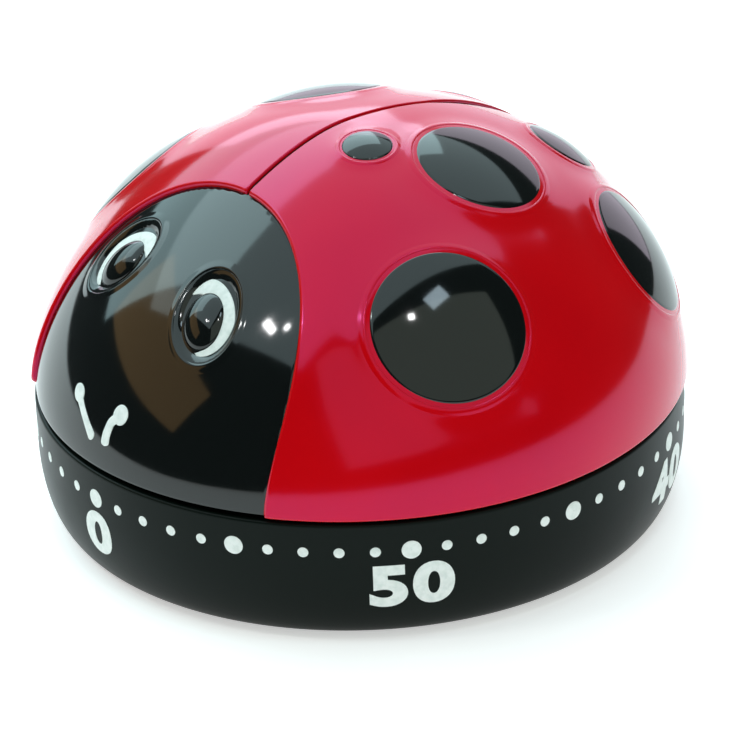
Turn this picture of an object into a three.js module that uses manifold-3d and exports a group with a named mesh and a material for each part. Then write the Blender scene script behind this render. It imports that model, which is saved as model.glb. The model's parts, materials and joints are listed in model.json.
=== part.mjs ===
// Ladybird kitchen timer: a sixty-minute wind-up timer in a ladybird-shaped case.
// Units are millimetres and +Z is up. The origin is on the table under the middle of the case, and the head
// faces -Y.
// The black shell with its two red wing covers turns on the dial ring. Its arbor winds a mainspring, and a
// train of wheels, an escapement with a weighted verge, and a hammer under a release lever stand in the base.
import * as THREE from "three";
import { mergeVertices } from "three/addons/utils/BufferGeometryUtils.js";
import Module from "manifold-3d";

const wasm = await Module();
wasm.setup();
const { Manifold, Mesh } = wasm;

// ---------------------------------------------------------------------------------------------------------
// Driving dimensions
// ---------------------------------------------------------------------------------------------------------

const deg = Math.PI / 180;
const fit = 0.3; // gap left between two pieces that seat on each other
const pressed = 0.05; // gap left round a shaft in the piece that is pressed on it
const running = 0.25; // radial gap of a shaft in a plate or hub

const ring = {
  radius: 38, // outside, at the dial marks
  taper: 3.1, // how much smaller the bottom edge is
  cornerHeight: 9, // height over which the outside curves in to the bottom edge
  bottom: 0.6,
  top: 15.4,
  wall: 1.1, // at the bottom edge
  rimThickness: 1.4, // lip round the top that hides the shell's skirt
  flangeReach: 3.6, // how far the flange reaches in from the wall
  flangeTop: 13.6,
  flangeThickness: 1.8,
  columns: 40,
};
ring.inside = ring.radius - ring.taper - ring.wall;

const dome = {
  overhang: 0.4, // how far the dome stands out over the dial ring
  height: 31.5,
  gap: 0.5, // shadow gap over the dial ring
  frontExponent: 1.52, // superellipse exponents of the profile: the head slopes, the back is full
  sideExponent: 1.88,
  backExponent: 2.1,
  spread: 2.1, // how quickly the exponent changes round the dome
  columns: 36,
  rows: 8,
};
dome.radius = ring.radius + dome.overhang;
dome.bottom = ring.top + dome.gap;
dome.top = dome.bottom + dome.height;

const wing = {
  thickness: 1.2,
  proud: 0.6, // how far a wing stands over the head
  groove: 0.25, // half the slit between the wings
  notchStart: 11, // Y at which the slit begins to open
  notchSlope: 0.115, // growth of half the slit with Y
};

const face = { back: 15.1, halfWidth: 22.4, length: 17.2 }; // plan ellipse of the head: back edge, half axes

const shell = {
  wall: 1.8,
  under: wing.thickness + fit, // depth of the shell under the outside of a wing
  lipThickness: 1.5,
  lipDrop: 1.4, // how far the skirt reaches below the edge of the dome
  lipGap: 0.4,
  hubRadius: 5.2,
  hubBottom: 29.5,
  ribThickness: 1.4,
  ribBottom: 32,
  ribReach: 24,
};
shell.inset = shell.under + shell.wall;

// Spots of the left wing: angle from the head in degrees, distance from the axis, radius.
// The right wing mirrors them, all but the lone small one by the slit.
const spots = [
  { angle: 72, out: 29.9, radius: 8.9 },
  { angle: 115.4, out: 16.1, radius: 7.5 },
  { angle: 67.9, out: 6.95, radius: 2.9, leftOnly: true },
  { angle: 136.1, out: 33.3, radius: 8.1 },
  { angle: 158.5, out: 25.3, radius: 4.3 },
];
const spotRise = 0.7; // height of the crown of a spot over the wing
const spotGap = 0.25;
const pupil = { angle: 15, out: 27.6, radius: 3.2, rise: 0.5 };

const plates = { lower: 9.6, upper: 25.2, thickness: 1, radius: 24, earRadius: 2.3 };
plates.floor = plates.lower + plates.thickness;
plates.roof = plates.upper + plates.thickness;
const pillar = { radius: 1.8, edge: 2.7, angles: [115, 215, 308] };
pillar.circle = plates.radius - pillar.edge;

const screw = { shank: 1.1, head: 2.1, headHeight: 1.1, slotWidth: 0.5, slotDepth: 0.6, hole: 1.4 };

const basePlate = {
  bottom: 0.8,
  thickness: 1.8,
  edgeGap: 0.3,
  slots: 6,
  slotWidth: 2.2,
  slotIn: 8,
  slotOut: 18,
};
basePlate.top = basePlate.bottom + basePlate.thickness;
const post = { radius: 2.6, inset: 2.5, long: [30, 150, 270], short: [90, 210, 330] };
post.circle = ring.inside - post.inset;
const foot = { radius: 3.6, edge: 6.5, recess: 0.7, angles: [90, 210, 330] };
foot.circle = ring.inside - foot.edge;

const gong = { radius: 22.4, wall: 0.8, clear: 0.15, height: 4.3, crown: 6, hole: 1.5 };
gong.bottom = basePlate.top + screw.headHeight + gong.clear;
gong.rim = gong.bottom + gong.height;
const gongPost = { radius: 2.4 };

// The going train. The tooth counts settle its ratios: 80:8, 48:8 and 48:8.
const tooth = { module: 0.35, tip: 0.4, addendum: 1.1, dedendum: 1.9 };
const leaf = { width: 0.7, tip: 0.5, addendum: 0.7, dedendum: 1.45 };
const pitchRadius = (teeth) => (teeth * tooth.module) / 2;
const mainWheel = { teeth: 80, z: 17.4, thickness: 1.2 };
mainWheel.pitch = pitchRadius(mainWheel.teeth);
// How far outside the main wheel's pitch circle each arbor stands.
const beyondWheel = { third: 2.7, escape: 3.1, verge: 3.9, hammer: 4.3 };

const second = { teeth: 48, leaves: 8, z: 21.6, thickness: 0.9, pinionZ: 16.8, pinionLength: 2.4, angle: 0 };
const third = { teeth: 48, leaves: 8, z: 19.6, thickness: 0.8, pinionZ: 21, pinionLength: 2.1 };
const escape = {
  teeth: 15,
  leaves: 8,
  z: 22.6,
  thickness: 0.6,
  pinionZ: 18.9,
  pinionLength: 2.1,
  tip: 5,
  depth: 1.2,
};
const verge = { halfSpan: 30, pinRadius: 0.22, pinGap: 0.08, z: 23.9, thickness: 0.6, armWidth: 0.9 };
const bar = { half: 4.4, weight: 1.3, width: 1.2, z: 19.9, height: 1.6 };
const arbor = { radius: 0.75, pivot: 0.45, endGap: 0.3 };

const mainArbor = { radius: 2.5, pivot: 1.4, top: 40, flat: 0.7 };
const mainspring = { inner: 3.4, outer: 12.1, turns: 5, strip: 0.5, bottom: 11.6, width: 4.6, steps: 12 };
const clutch = { radius: 5, thickness: 0.5, dish: 0.4 };
const cam = { radius: 5.5, z: 23.1, thickness: 1, notchDepth: 1.8, notchHalf: 44 };

const hammer = { angle: -38, arm: 9, headRadius: 1.3, gap: 0.75, z: 8.4, thickness: 0.8, headBottom: 6.2 };
const lever = { thickness: 0.8, width: 1.1, gap: 0.3 };
const star = { teeth: 6, radius: 2.6, root: 1.4, z: 13, thickness: 1.2, gap: 0.5 };
const coil = { turns: 3, wire: 0.18, gap: 0.35, z: 15.2, pitch: 0.6, leg: 3 };

const colour = {
  shell: 0x0c0e0d,
  wing: 0xc4070d,
  ring: 0x151a18,
  rubber: 0x202020,
  steel: 0xb9bcc0,
  brass: 0xc9a24b,
  nickel: 0xd5d6d8,
  spring: 0x5a6470,
};

// ---------------------------------------------------------------------------------------------------------
// Solids: three.js geometry in, manifold-3d booleans, three.js geometry out
// ---------------------------------------------------------------------------------------------------------

function solidOf(geometry) {
  const bare = geometry.clone();
  bare.deleteAttribute("normal");
  bare.deleteAttribute("uv");
  const merged = mergeVertices(bare, 1e-4);
  return new Manifold(
    new Mesh({
      numProp: 3,
      vertProperties: new Float32Array(merged.attributes.position.array),
      triVerts: new Uint32Array(merged.index.array),
    }),
  );
}

function geometryOf(solid) {
  const mesh = solid.getMesh();
  const position = new Float32Array(mesh.numVert * 3);
  for (let i = 0; i < mesh.numVert; i++) {
    position.set(mesh.vertProperties.subarray(i * mesh.numProp, i * mesh.numProp + 3), i * 3);
  }
  const attribute = new THREE.BufferAttribute(position, 3);
  const geometry = new THREE.BufferGeometry().setAttribute("position", attribute);
  geometry.setIndex(new THREE.BufferAttribute(new Uint32Array(mesh.triVerts), 1));
  geometry.computeVertexNormals();
  return geometry;
}

// A round piece about Z: [radius, z] pairs that run upwards on the outside.
function turned(profile, segments = 24) {
  const points = profile.map(([r, z]) => new THREE.Vector2(r, z));
  return solidOf(new THREE.LatheGeometry(points, segments).rotateX(Math.PI / 2));
}

// A ring about Z with a closed profile.
function turnedRing(profile, segments = 48) {
  return turned([...profile, profile[0]], segments);
}

function cylinder(radius, z0, z1, segments = 16) {
  return turned([[0, z0], [radius, z0], [radius, z1], [0, z1]], segments);
}

function extruded(shape, z0, z1, curveSegments = 12) {
  const depth = z1 - z0;
  const prism = new THREE.ExtrudeGeometry(shape, { depth, bevelEnabled: false, curveSegments });
  return solidOf(prism.translate(0, 0, z0));
}

function outline(points) {
  return new THREE.Shape(points.map(([x, y]) => new THREE.Vector2(x, y)));
}

function box(x0, x1, y0, y1, z0, z1) {
  return extruded(outline([[x0, y0], [x1, y0], [x1, y1], [x0, y1]]), z0, z1);
}

function polar(radius, angleDeg) {
  return [radius * Math.cos(angleDeg * deg), radius * Math.sin(angleDeg * deg)];
}

function at(solid, [x, y]) {
  return solid.translate([x, y, 0]);
}

function joined(...solids) {
  return solids.reduce((all, next) => all.add(next));
}

function cutFrom(solid, ...tools) {
  return tools.reduce((left, tool) => left.subtract(tool), solid);
}

const timer = new THREE.Group();

function place(name, solid, color, { roughness = 0.4, metalness = 0 } = {}) {
  const material = new THREE.MeshStandardMaterial({ color, roughness, metalness });
  const mesh = new THREE.Mesh(geometryOf(solid), material);
  mesh.name = name;
  timer.add(mesh);
}

const metal = { roughness: 0.3, metalness: 1 };

// ---------------------------------------------------------------------------------------------------------
// The dome: (r / R)^n + (h / H)^n = 1, where n depends on the angle from the head
// ---------------------------------------------------------------------------------------------------------

function exponentAt(angle) {
  const c = Math.cos(angle);
  const end = c > 0 ? dome.frontExponent : dome.backExponent;
  return dome.sideExponent + (end - dome.sideExponent) * Math.abs(c) ** dome.spread;
}

// A point at an angle from the head: angle 0 is -Y, and a quarter turn is +X.
function around(radius, angle) {
  return [radius * Math.sin(angle), -radius * Math.cos(angle)];
}

// The dome set in by an even depth, as a closed solid with a flat floor.
function domeSolid(inset, floor = dome.bottom, columns = dome.columns, rows = dome.rows) {
  const radius = dome.radius - inset;
  const height = dome.height - inset;
  const position = [];
  const index = [];
  for (let row = 0; row < rows; row++) {
    const rise = (row / rows) * (Math.PI / 2);
    for (let column = 0; column < columns; column++) {
      const angle = (column / columns) * 2 * Math.PI;
      const n = exponentAt(angle);
      const [x, y] = around(radius * Math.cos(rise) ** (2 / n), angle);
      position.push(x, y, row ? dome.bottom + height * Math.sin(rise) ** (2 / n) : floor);
    }
  }
  const top = position.push(0, 0, dome.bottom + height) / 3 - 1;
  const middle = position.push(0, 0, floor) / 3 - 1;
  for (let column = 0; column < columns; column++) {
    const next = (column + 1) % columns;
    for (let row = 0; row < rows - 1; row++) {
      const [a, b] = [row * columns + column, row * columns + next];
      index.push(a, b, b + columns, a, b + columns, a + columns);
    }
    index.push((rows - 1) * columns + column, (rows - 1) * columns + next, top, next, column, middle);
  }
  const geometry = new THREE.BufferGeometry();
  geometry.setAttribute("position", new THREE.Float32BufferAttribute(position, 3));
  geometry.setIndex(index);
  return solidOf(geometry);
}

// The frame of a feature on the dome: origin on its outside, Z along the outward normal.
function domeFrame(angle, out) {
  const n = exponentAt(angle);
  const share = out / dome.radius;
  const lift = (1 - share ** n) ** (1 / n);
  const normal = new THREE.Vector3(
    Math.sin(angle) * (share ** (n - 1) / dome.radius),
    -Math.cos(angle) * (share ** (n - 1) / dome.radius),
    lift ** (n - 1) / dome.height,
  ).normalize();
  const [x, y] = around(out, angle);
  const turn = new THREE.Quaternion().setFromUnitVectors(new THREE.Vector3(0, 0, 1), normal);
  return new THREE.Matrix4().compose(
    new THREE.Vector3(x, y, dome.bottom + dome.height * lift),
    turn,
    new THREE.Vector3(1, 1, 1),
  );
}

// A crowned stud in a feature's frame: a stem under the surface, and a cap that follows the dome and
// stands proud.
function crownedStud(radius, depth, rise) {
  const sag = radius ** 2 / (2 * dome.radius); // how far the dome falls away at the stud's edge
  const steps = 2;
  const cap = [];
  for (let i = 0; i <= steps; i++) {
    const share = Math.cos((i / steps) * (Math.PI / 2));
    cap.push([radius * share, rise - (rise + sag) * share ** 2]);
  }
  cap[steps][0] = 0;
  return [[0, -depth], [radius, -depth], ...cap];
}

function onDome(profile, angle, out, segments) {
  const points = profile.map(([r, z]) => new THREE.Vector2(r, z));
  const geometry = new THREE.LatheGeometry(points, segments).rotateX(Math.PI / 2);
  return solidOf(geometry.applyMatrix4(domeFrame(angle, out)));
}

const spotSides = (spot) => (spot.radius > 6 ? 12 : 8);
const bothSides = (feature) => [feature.angle * deg, -feature.angle * deg];

function facePrism(grow) {
  const shape = new THREE.Shape();
  shape.absellipse(0, -face.back - face.length, face.halfWidth + grow, face.length + grow, 0, 2 * Math.PI);
  return extruded(shape, 0, dome.top + 1, 28);
}

// ---------------------------------------------------------------------------------------------------------
// The turning case: shell, wings
// ---------------------------------------------------------------------------------------------------------

// The socket for the main arbor, with the flat that drives it.
function arborSocket() {
  const far = 3 * mainArbor.radius;
  return cutFrom(
    cylinder(mainArbor.radius + running, 0, mainArbor.top + fit),
    box(mainArbor.radius - mainArbor.flat + running, far, -far, far, 0, dome.top),
  );
}

function makeShell() {
  const roof = dome.top - shell.inset;
  const skirtOutside = ring.radius - ring.rimThickness - shell.lipGap;
  const skirt = turnedRing([
    [skirtOutside - shell.lipThickness, dome.bottom - shell.lipDrop],
    [skirtOutside, dome.bottom - shell.lipDrop],
    [skirtOutside, dome.bottom + shell.wall],
    [skirtOutside - shell.lipThickness, dome.bottom + shell.wall],
  ], ring.columns);
  const faceBulge = domeSolid(wing.proud).intersect(facePrism(0));
  const cavity = domeSolid(shell.inset, dome.bottom - 1, 24, 6);
  const { ribReach, ribThickness, ribBottom } = shell;
  const rib = box(-ribReach, ribReach, -ribThickness / 2, ribThickness / 2, ribBottom, roof + 1);
  const inside = domeSolid(shell.under + 0.5, dome.bottom, 24, 6);
  const ribs = joined(rib, rib.rotate([0, 0, 90])).intersect(inside);
  const hub = cylinder(shell.hubRadius, shell.hubBottom, roof + 0.8);
  let made = joined(domeSolid(shell.under), faceBulge);
  made = joined(cutFrom(made, cavity), skirt, ribs, hub);
  for (const spot of spots) {
    for (const angle of spot.leftOnly ? [spot.angle * deg] : bothSides(spot)) {
      const stud = crownedStud(spot.radius, shell.under + 0.9, spotRise);
      made = made.add(onDome(stud, angle, spot.out, spotSides(spot)));
    }
  }
  for (const angle of bothSides(pupil)) {
    const stud = crownedStud(pupil.radius, wing.proud + 1, pupil.rise - wing.proud);
    made = made.add(onDome(stud, angle, pupil.out, 10));
  }
  return cutFrom(made, arborSocket());
}

function makeWing(side) {
  const reach = dome.radius + 1;
  const edge = wing.groove + (reach - wing.notchStart) * wing.notchSlope;
  const half = [
    [wing.groove, -reach],
    [reach, -reach],
    [reach, reach],
    [edge, reach],
    [wing.groove, wing.notchStart],
  ];
  const region = extruded(outline(half), 0, dome.top + 1);
  let made = cutFrom(domeSolid(0), domeSolid(wing.thickness, dome.bottom - 1)).intersect(region);
  made = cutFrom(made, facePrism(fit));
  for (const spot of spots.filter(({ leftOnly }) => side > 0 || !leftOnly)) {
    const wide = spot.radius + spotGap;
    const hole = [[0, -2 * spotRise - wide / 2], [wide, -2 * spotRise - wide / 2], [wide, 4], [0, 4]];
    made = cutFrom(made, onDome(hole, spot.angle * deg, spot.out, spotSides(spot)));
  }
  return side > 0 ? made : made.mirror([1, 0, 0]);
}

place("dome_shell", makeShell(), colour.shell, { roughness: 0.12 });
place("left_wing", makeWing(1), colour.wing, { roughness: 0.15 });
place("right_wing", makeWing(-1), colour.wing, { roughness: 0.15 });

// ---------------------------------------------------------------------------------------------------------
// The base: dial ring, base plate, screws and feet
// ---------------------------------------------------------------------------------------------------------

// A slotted screw that stands on its head: the underside of the head is at Z 0, the shank above it.
function makeScrew(length) {
  const { head, headHeight, shank, slotWidth, slotDepth } = screw;
  const blank = turned(
    [[0, -headHeight], [head * 0.8, -headHeight], [head, -headHeight / 2], [head, 0], [shank, 0],
      [shank, length],
      [0, length]],
    8,
  );
  const slot = box(-head, head, -slotWidth / 2, slotWidth / 2, -2 * headHeight, slotDepth - headHeight);
  return cutFrom(blank, slot);
}

// The outside of the ring curves in to its bottom edge along a quarter ellipse.
function ringSide(steps = 5) {
  const side = [];
  for (let i = 0; i <= steps; i++) {
    const turn = (i / steps) * (Math.PI / 2);
    const out = ring.radius - ring.taper * (1 - Math.sin(turn));
    side.push([out, ring.bottom + ring.cornerHeight * (1 - Math.cos(turn))]);
  }
  return side;
}

function makeDialRing() {
  const flangeBottom = ring.flangeTop - ring.flangeThickness;
  const flangeInside = ring.inside - ring.flangeReach;
  const rimInside = ring.radius - ring.rimThickness;
  const edge = 0.3;
  const body = turnedRing(
    [[ring.inside, ring.bottom], ...ringSide(), [ring.radius, ring.top - edge],
      [ring.radius - edge, ring.top],
      [rimInside, ring.top], [rimInside, ring.flangeTop], [flangeInside, ring.flangeTop],
      [flangeInside, flangeBottom], [ring.inside, flangeBottom]],
    ring.columns,
  );
  const postTop = ring.flangeTop - edge;
  const postsFrom = (angles, bottom) =>
    angles.map((angle) => at(cylinder(post.radius, bottom, postTop, 10), polar(post.circle, angle)));
  const bores = [...post.long, ...post.short].map((angle) =>
    at(cylinder(screw.hole, 0, postTop - 1, 8), polar(post.circle, angle)),
  );
  return cutFrom(
    joined(body, ...postsFrom(post.long, basePlate.top), ...postsFrom(post.short, plates.floor)),
    ...bores,
  );
}

function makeBasePlate() {
  const slot = new THREE.Shape();
  const half = basePlate.slotWidth / 2;
  slot.absarc(basePlate.slotIn + half, 0, half, Math.PI / 2, (3 * Math.PI) / 2);
  slot.absarc(basePlate.slotOut - half, 0, half, -Math.PI / 2, Math.PI / 2);
  const slots = [];
  for (let i = 0; i < basePlate.slots; i++) {
    slots.push(extruded(slot, 0, basePlate.top + 1, 2).rotate([0, 0, (i + 0.5) * (360 / basePlate.slots)]));
  }
  const disc = cylinder(ring.inside - basePlate.edgeGap, basePlate.bottom, basePlate.top, ring.columns);
  const holes = post.long.flatMap((angle) => [
    at(cylinder(screw.hole, 0, basePlate.top + 1, 10), polar(post.circle, angle)),
    at(cylinder(screw.head + running, 0, basePlate.bottom + screw.headHeight, 10), polar(post.circle, angle)),
  ]);
  const recesses = foot.angles.map((angle) =>
    at(cylinder(foot.radius + pressed, 0, basePlate.bottom + foot.recess, 14), polar(foot.circle, angle)),
  );
  return cutFrom(disc, ...slots, ...holes, ...recesses);
}

place("dial_ring", makeDialRing(), colour.ring);
place("base_plate", makeBasePlate(), colour.ring, { roughness: 0.5 });

foot.angles.forEach((angle, i) => {
  const top = basePlate.bottom + foot.recess;
  const pad = turned([[0, 0], [foot.radius - 0.4, 0], [foot.radius, 0.4], [foot.radius, top], [0, top]], 14);
  place(`foot_${i + 1}`, at(pad, polar(foot.circle, angle)), colour.rubber, { roughness: 0.9 });
});

post.long.forEach((angle, i) => {
  const seated = makeScrew(7).translate([0, 0, basePlate.bottom + screw.headHeight]);
  place(`base_screw_${i + 1}`, at(seated, polar(post.circle, angle)), colour.steel, metal);
});

// ---------------------------------------------------------------------------------------------------------
// Where each arbor stands: the mesh distances settle the angles round the main arbor
// ---------------------------------------------------------------------------------------------------------

// The angle at the main arbor between two arbors at given distances from it and from each other.
function angleBetween(outA, outB, distance) {
  return Math.acos((outA ** 2 + outB ** 2 - distance ** 2) / (2 * outA * outB)) / deg;
}

second.out = pitchRadius(mainWheel.teeth + second.leaves);
for (const [name, each] of Object.entries({ third, escape, verge, hammer })) {
  each.out = mainWheel.pitch + beyondWheel[name];
}
verge.distance = escape.tip / Math.cos(verge.halfSpan * deg);
third.angle = second.angle + angleBetween(second.out, third.out, pitchRadius(second.teeth + third.leaves));
escape.angle = third.angle + angleBetween(third.out, escape.out, pitchRadius(third.teeth + escape.leaves));
verge.angle = escape.angle + angleBetween(escape.out, verge.out, verge.distance);
const trainArbors = [second, third, escape, verge, hammer];
for (const each of trainArbors) {
  each.at = polar(each.out, each.angle);
}

const bearing = (from, to) => Math.atan2(to.at[1] - from.at[1], to.at[0] - from.at[0]);
const centre = { at: [0, 0] };

// ---------------------------------------------------------------------------------------------------------
// The frame of the movement: plates, pillars, screws, gong
// ---------------------------------------------------------------------------------------------------------

function plateHoles(mainBore) {
  return [
    cylinder(mainBore, 0, dome.top),
    ...trainArbors.map((each) => at(cylinder(arbor.pivot + running, 0, dome.top, 8), each.at)),
    ...pillar.angles.map((angle) => at(cylinder(screw.hole, 0, dome.top, 10), polar(pillar.circle, angle))),
  ];
}

function makeLowerPlate() {
  const { lower, floor, earRadius } = plates;
  const ears = post.short.map((angle) =>
    joined(
      box(0, post.circle, -earRadius, earRadius, lower, floor),
      cylinder(earRadius, lower, floor).translate([post.circle, 0, 0]),
    ).rotate([0, 0, angle]),
  );
  return cutFrom(
    joined(cylinder(plates.radius, lower, floor, 32), ...ears),
    ...plateHoles(mainArbor.pivot + running),
    at(cylinder(arbor.radius + running, 0, floor + 1, 10), hammer.at),
    ...post.short.map((angle) => at(cylinder(screw.hole, 0, floor + 1, 10), polar(post.circle, angle))),
  );
}

place("lower_plate", makeLowerPlate(), colour.steel, metal);
const upperBlank = cylinder(plates.radius, plates.upper, plates.roof, 32);
place("upper_plate", cutFrom(upperBlank, ...plateHoles(mainArbor.radius + running)), colour.steel, metal);

pillar.angles.forEach((angle, i) => {
  const spot = polar(pillar.circle, angle);
  const depth = 4;
  const tapped = cutFrom(
    cylinder(pillar.radius, plates.floor, plates.upper, 12),
    cylinder(screw.shank + running, plates.upper - depth, plates.roof, 8),
  );
  place(`pillar_${i + 1}`, at(tapped, spot), colour.steel, metal);
  const topScrew = makeScrew(depth).rotate([180, 0, 0]).translate([0, 0, plates.roof]);
  place(`plate_screw_${i + 1}`, at(topScrew, spot), colour.steel, metal);
});

post.short.forEach((angle, i) => {
  const seated = makeScrew(2.5).translate([0, 0, plates.lower]);
  place(`movement_screw_${i + 1}`, at(seated, polar(post.circle, angle)), colour.steel, metal);
});

function makeGong() {
  const { radius, wall, bottom, rim, crown, hole } = gong;
  return turnedRing(
    [[hole, bottom], [crown, bottom], [radius - 2, bottom + 0.4], [radius, bottom + 2], [radius, rim],
      [radius - wall, rim], [radius - wall, bottom + 2.2], [radius - 2.3, bottom + wall + 0.4],
      [crown, bottom + wall],
      [hole, bottom + wall]],
    28,
  );
}

place("gong", makeGong(), colour.nickel, metal);
const gongTop = gong.bottom + gong.wall;
const gongScrewLength = 4;
const gongPostBlank = cylinder(gongPost.radius, gongTop, plates.lower, 14);
const gongPostBore = cylinder(screw.shank + running, 0, gong.bottom + gongScrewLength + fit, 8);
place("gong_post", cutFrom(gongPostBlank, gongPostBore), colour.steel, metal);
place("gong_screw", makeScrew(gongScrewLength).translate([0, 0, gong.bottom]), colour.steel, metal);

// ---------------------------------------------------------------------------------------------------------
// The going train
// ---------------------------------------------------------------------------------------------------------

// Straight-flanked teeth with a V-shaped space between two of them. All sizes are in modules.
function toothedOutline(teeth, { tip, addendum, dedendum }, phase) {
  const tipRadius = pitchRadius(teeth) + addendum * tooth.module;
  const rootRadius = pitchRadius(teeth) - dedendum * tooth.module;
  const tipHalf = (tip * tooth.module) / 2 / tipRadius;
  const points = [];
  for (let i = 0; i < teeth; i++) {
    const middle = phase + (i / teeth) * 2 * Math.PI;
    const spaceMiddle = middle - Math.PI / teeth;
    const corners = [
      [rootRadius, spaceMiddle],
      [tipRadius, middle - tipHalf],
      [tipRadius, middle + tipHalf],
    ];
    for (const [radius, turn] of corners) {
      points.push([radius * Math.cos(turn), radius * Math.sin(turn)]);
    }
  }
  return outline(points);
}

// Straight-flanked leaves on a round core.
function leavedOutline(leaves, { width, tip, addendum, dedendum }, phase) {
  const pitch = pitchRadius(leaves);
  const tipRadius = pitch + addendum * tooth.module;
  const rootRadius = pitch - dedendum * tooth.module;
  const tipHalf = (tip * tooth.module) / 2 / tipRadius;
  const rootHalf = (width * tooth.module) / 2 / rootRadius;
  const points = [];
  for (let i = 0; i < leaves; i++) {
    const middle = phase + (i / leaves) * 2 * Math.PI;
    const corners = [
      [rootRadius, -rootHalf],
      [tipRadius, -tipHalf],
      [tipRadius, tipHalf],
      [rootRadius, rootHalf],
    ];
    for (const [radius, turn] of corners) {
      points.push([radius * Math.cos(middle + turn), radius * Math.sin(middle + turn)]);
    }
  }
  return outline(points);
}

// A wheel with crossings between its hub and its rim.
function makeWheel(wheel, phase, shaft, crossings, boreSides) {
  const shape = toothedOutline(wheel.teeth, tooth, phase);
  const rimInside = pitchRadius(wheel.teeth) - (tooth.dedendum + 2) * tooth.module;
  const hubOutside = shaft + 1.8;
  const armHalf = 0.2;
  for (let i = 0; i < crossings; i++) {
    const from = (i / crossings) * 2 * Math.PI + armHalf;
    const to = ((i + 1) / crossings) * 2 * Math.PI - armHalf;
    const window = new THREE.Path();
    window.absarc(0, 0, rimInside, from, to, false);
    window.absarc(0, 0, hubOutside, to, from, true);
    shape.holes.push(window);
  }
  const blank = extruded(shape, wheel.z, wheel.z + wheel.thickness, 4);
  return cutFrom(blank, cylinder(shaft + pressed, 0, dome.top, boreSides));
}

function makePinion(on, phase) {
  const shape = leavedOutline(on.leaves, leaf, phase);
  return extruded(shape, on.pinionZ, on.pinionZ + on.pinionLength);
}

// A plain arbor between the plates with a pivot at each end.
const arborSides = 10;
function makeArbor() {
  const [low, high] = [plates.floor + arbor.endGap, plates.upper - arbor.endGap];
  return turned(
    [[0, plates.lower + pressed], [arbor.pivot, plates.lower + pressed], [arbor.pivot, low],
      [arbor.radius, low],
      [arbor.radius, high], [arbor.pivot, high], [arbor.pivot, plates.roof - pressed],
      [0, plates.roof - pressed]],
    arborSides,
  );
}

// A tooth of the driving wheel stands in a space of the pinion on the line between their centres.
const leafFacing = (from, to) => Math.PI + bearing(from, to) + Math.PI / to.leaves;

const mainWheelSolid = makeWheel(mainWheel, bearing(centre, second), mainArbor.radius, 4, 16);
place("main_wheel", mainWheelSolid, colour.brass, metal);
const secondWheel = makeWheel(second, bearing(second, third), arbor.radius, 3, arborSides);
place("second_wheel", at(secondWheel, second.at), colour.brass, metal);
const thirdWheel = makeWheel(third, bearing(third, escape), arbor.radius, 3, arborSides);
place("third_wheel", at(thirdWheel, third.at), colour.brass, metal);
const secondPinion = makePinion(second, leafFacing(centre, second));
place("second_arbor", at(makeArbor().add(secondPinion), second.at), colour.steel, metal);
const thirdPinion = makePinion(third, leafFacing(second, third));
place("third_arbor", at(makeArbor().add(thirdPinion), third.at), colour.steel, metal);
const escapePinion = makePinion(escape, leafFacing(third, escape));
place("escape_arbor", at(makeArbor().add(escapePinion), escape.at), colour.steel, metal);

// Pointed teeth that lean forward, as [share of the pitch from the tip, depth].
function makeEscapeWheel() {
  const points = [];
  for (let i = 0; i < escape.teeth; i++) {
    for (const [share, depth] of [[-0.22, 1], [-0.05, 0], [0.05, 0], [0.14, 1]]) {
      const turn = bearing(escape, verge) + ((i + share) / escape.teeth) * 2 * Math.PI;
      const radius = escape.tip - depth * escape.depth;
      points.push([radius * Math.cos(turn), radius * Math.sin(turn)]);
    }
  }
  const blank = extruded(outline(points), escape.z, escape.z + escape.thickness);
  return cutFrom(blank, cylinder(arbor.radius + pressed, 0, dome.top, arborSides));
}
place("escape_wheel", at(makeEscapeWheel(), escape.at), colour.brass, metal);

// ---------------------------------------------------------------------------------------------------------
// The verge: an arbor, a pallet arm with two pins that hang down to the escape wheel, and a weighted bar
// ---------------------------------------------------------------------------------------------------------

// A straight arm from one plan point to another with round ends.
function armBetween([x0, y0], [x1, y1], width, z0, z1) {
  const turn = Math.atan2(y1 - y0, x1 - x0);
  const length = Math.hypot(x1 - x0, y1 - y0);
  const shape = new THREE.Shape();
  shape.absarc(0, 0, width / 2, Math.PI / 2, (3 * Math.PI) / 2);
  shape.absarc(length, 0, width / 2, -Math.PI / 2, Math.PI / 2);
  return extruded(shape, z0, z1, 5).rotate([0, 0, turn / deg]).translate([x0, y0, 0]);
}

function makePallets() {
  const reach = escape.tip + verge.pinGap + verge.pinRadius;
  const top = verge.z + verge.thickness;
  const pins = [-1, 1].map((side) => {
    const turn = bearing(escape, verge) + side * verge.halfSpan * deg;
    return [escape.at[0] + reach * Math.cos(turn), escape.at[1] + reach * Math.sin(turn)];
  });
  const solids = pins.flatMap((pin) => [
    armBetween(verge.at, pin, verge.armWidth, verge.z, top),
    at(cylinder(verge.pinRadius, escape.z - fit, top, 8), pin),
  ]);
  const boss = at(cylinder(1.6, verge.z, top, 12), verge.at);
  const bore = at(cylinder(arbor.radius + pressed, 0, dome.top, arborSides), verge.at);
  return cutFrom(joined(boss, ...solids), bore);
}

function makeBar() {
  const [inner, outer] = [-bar.half, bar.half].map((step) => polar(verge.out + step, verge.angle));
  const top = bar.z + bar.height;
  return cutFrom(
    joined(
      armBetween(inner, outer, bar.width, bar.z, top),
      at(cylinder(bar.weight, bar.z, top, 12), inner),
      at(cylinder(bar.weight, bar.z, top, 12), outer),
      at(cylinder(1.6, bar.z, top, 12), verge.at),
    ),
    at(cylinder(arbor.radius + pressed, 0, dome.top, arborSides), verge.at),
  );
}

place("verge_arbor", at(makeArbor(), verge.at), colour.steel, metal);
place("pallets", makePallets(), colour.steel, metal);
place("balance_bar", makeBar(), colour.brass, metal);

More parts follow.
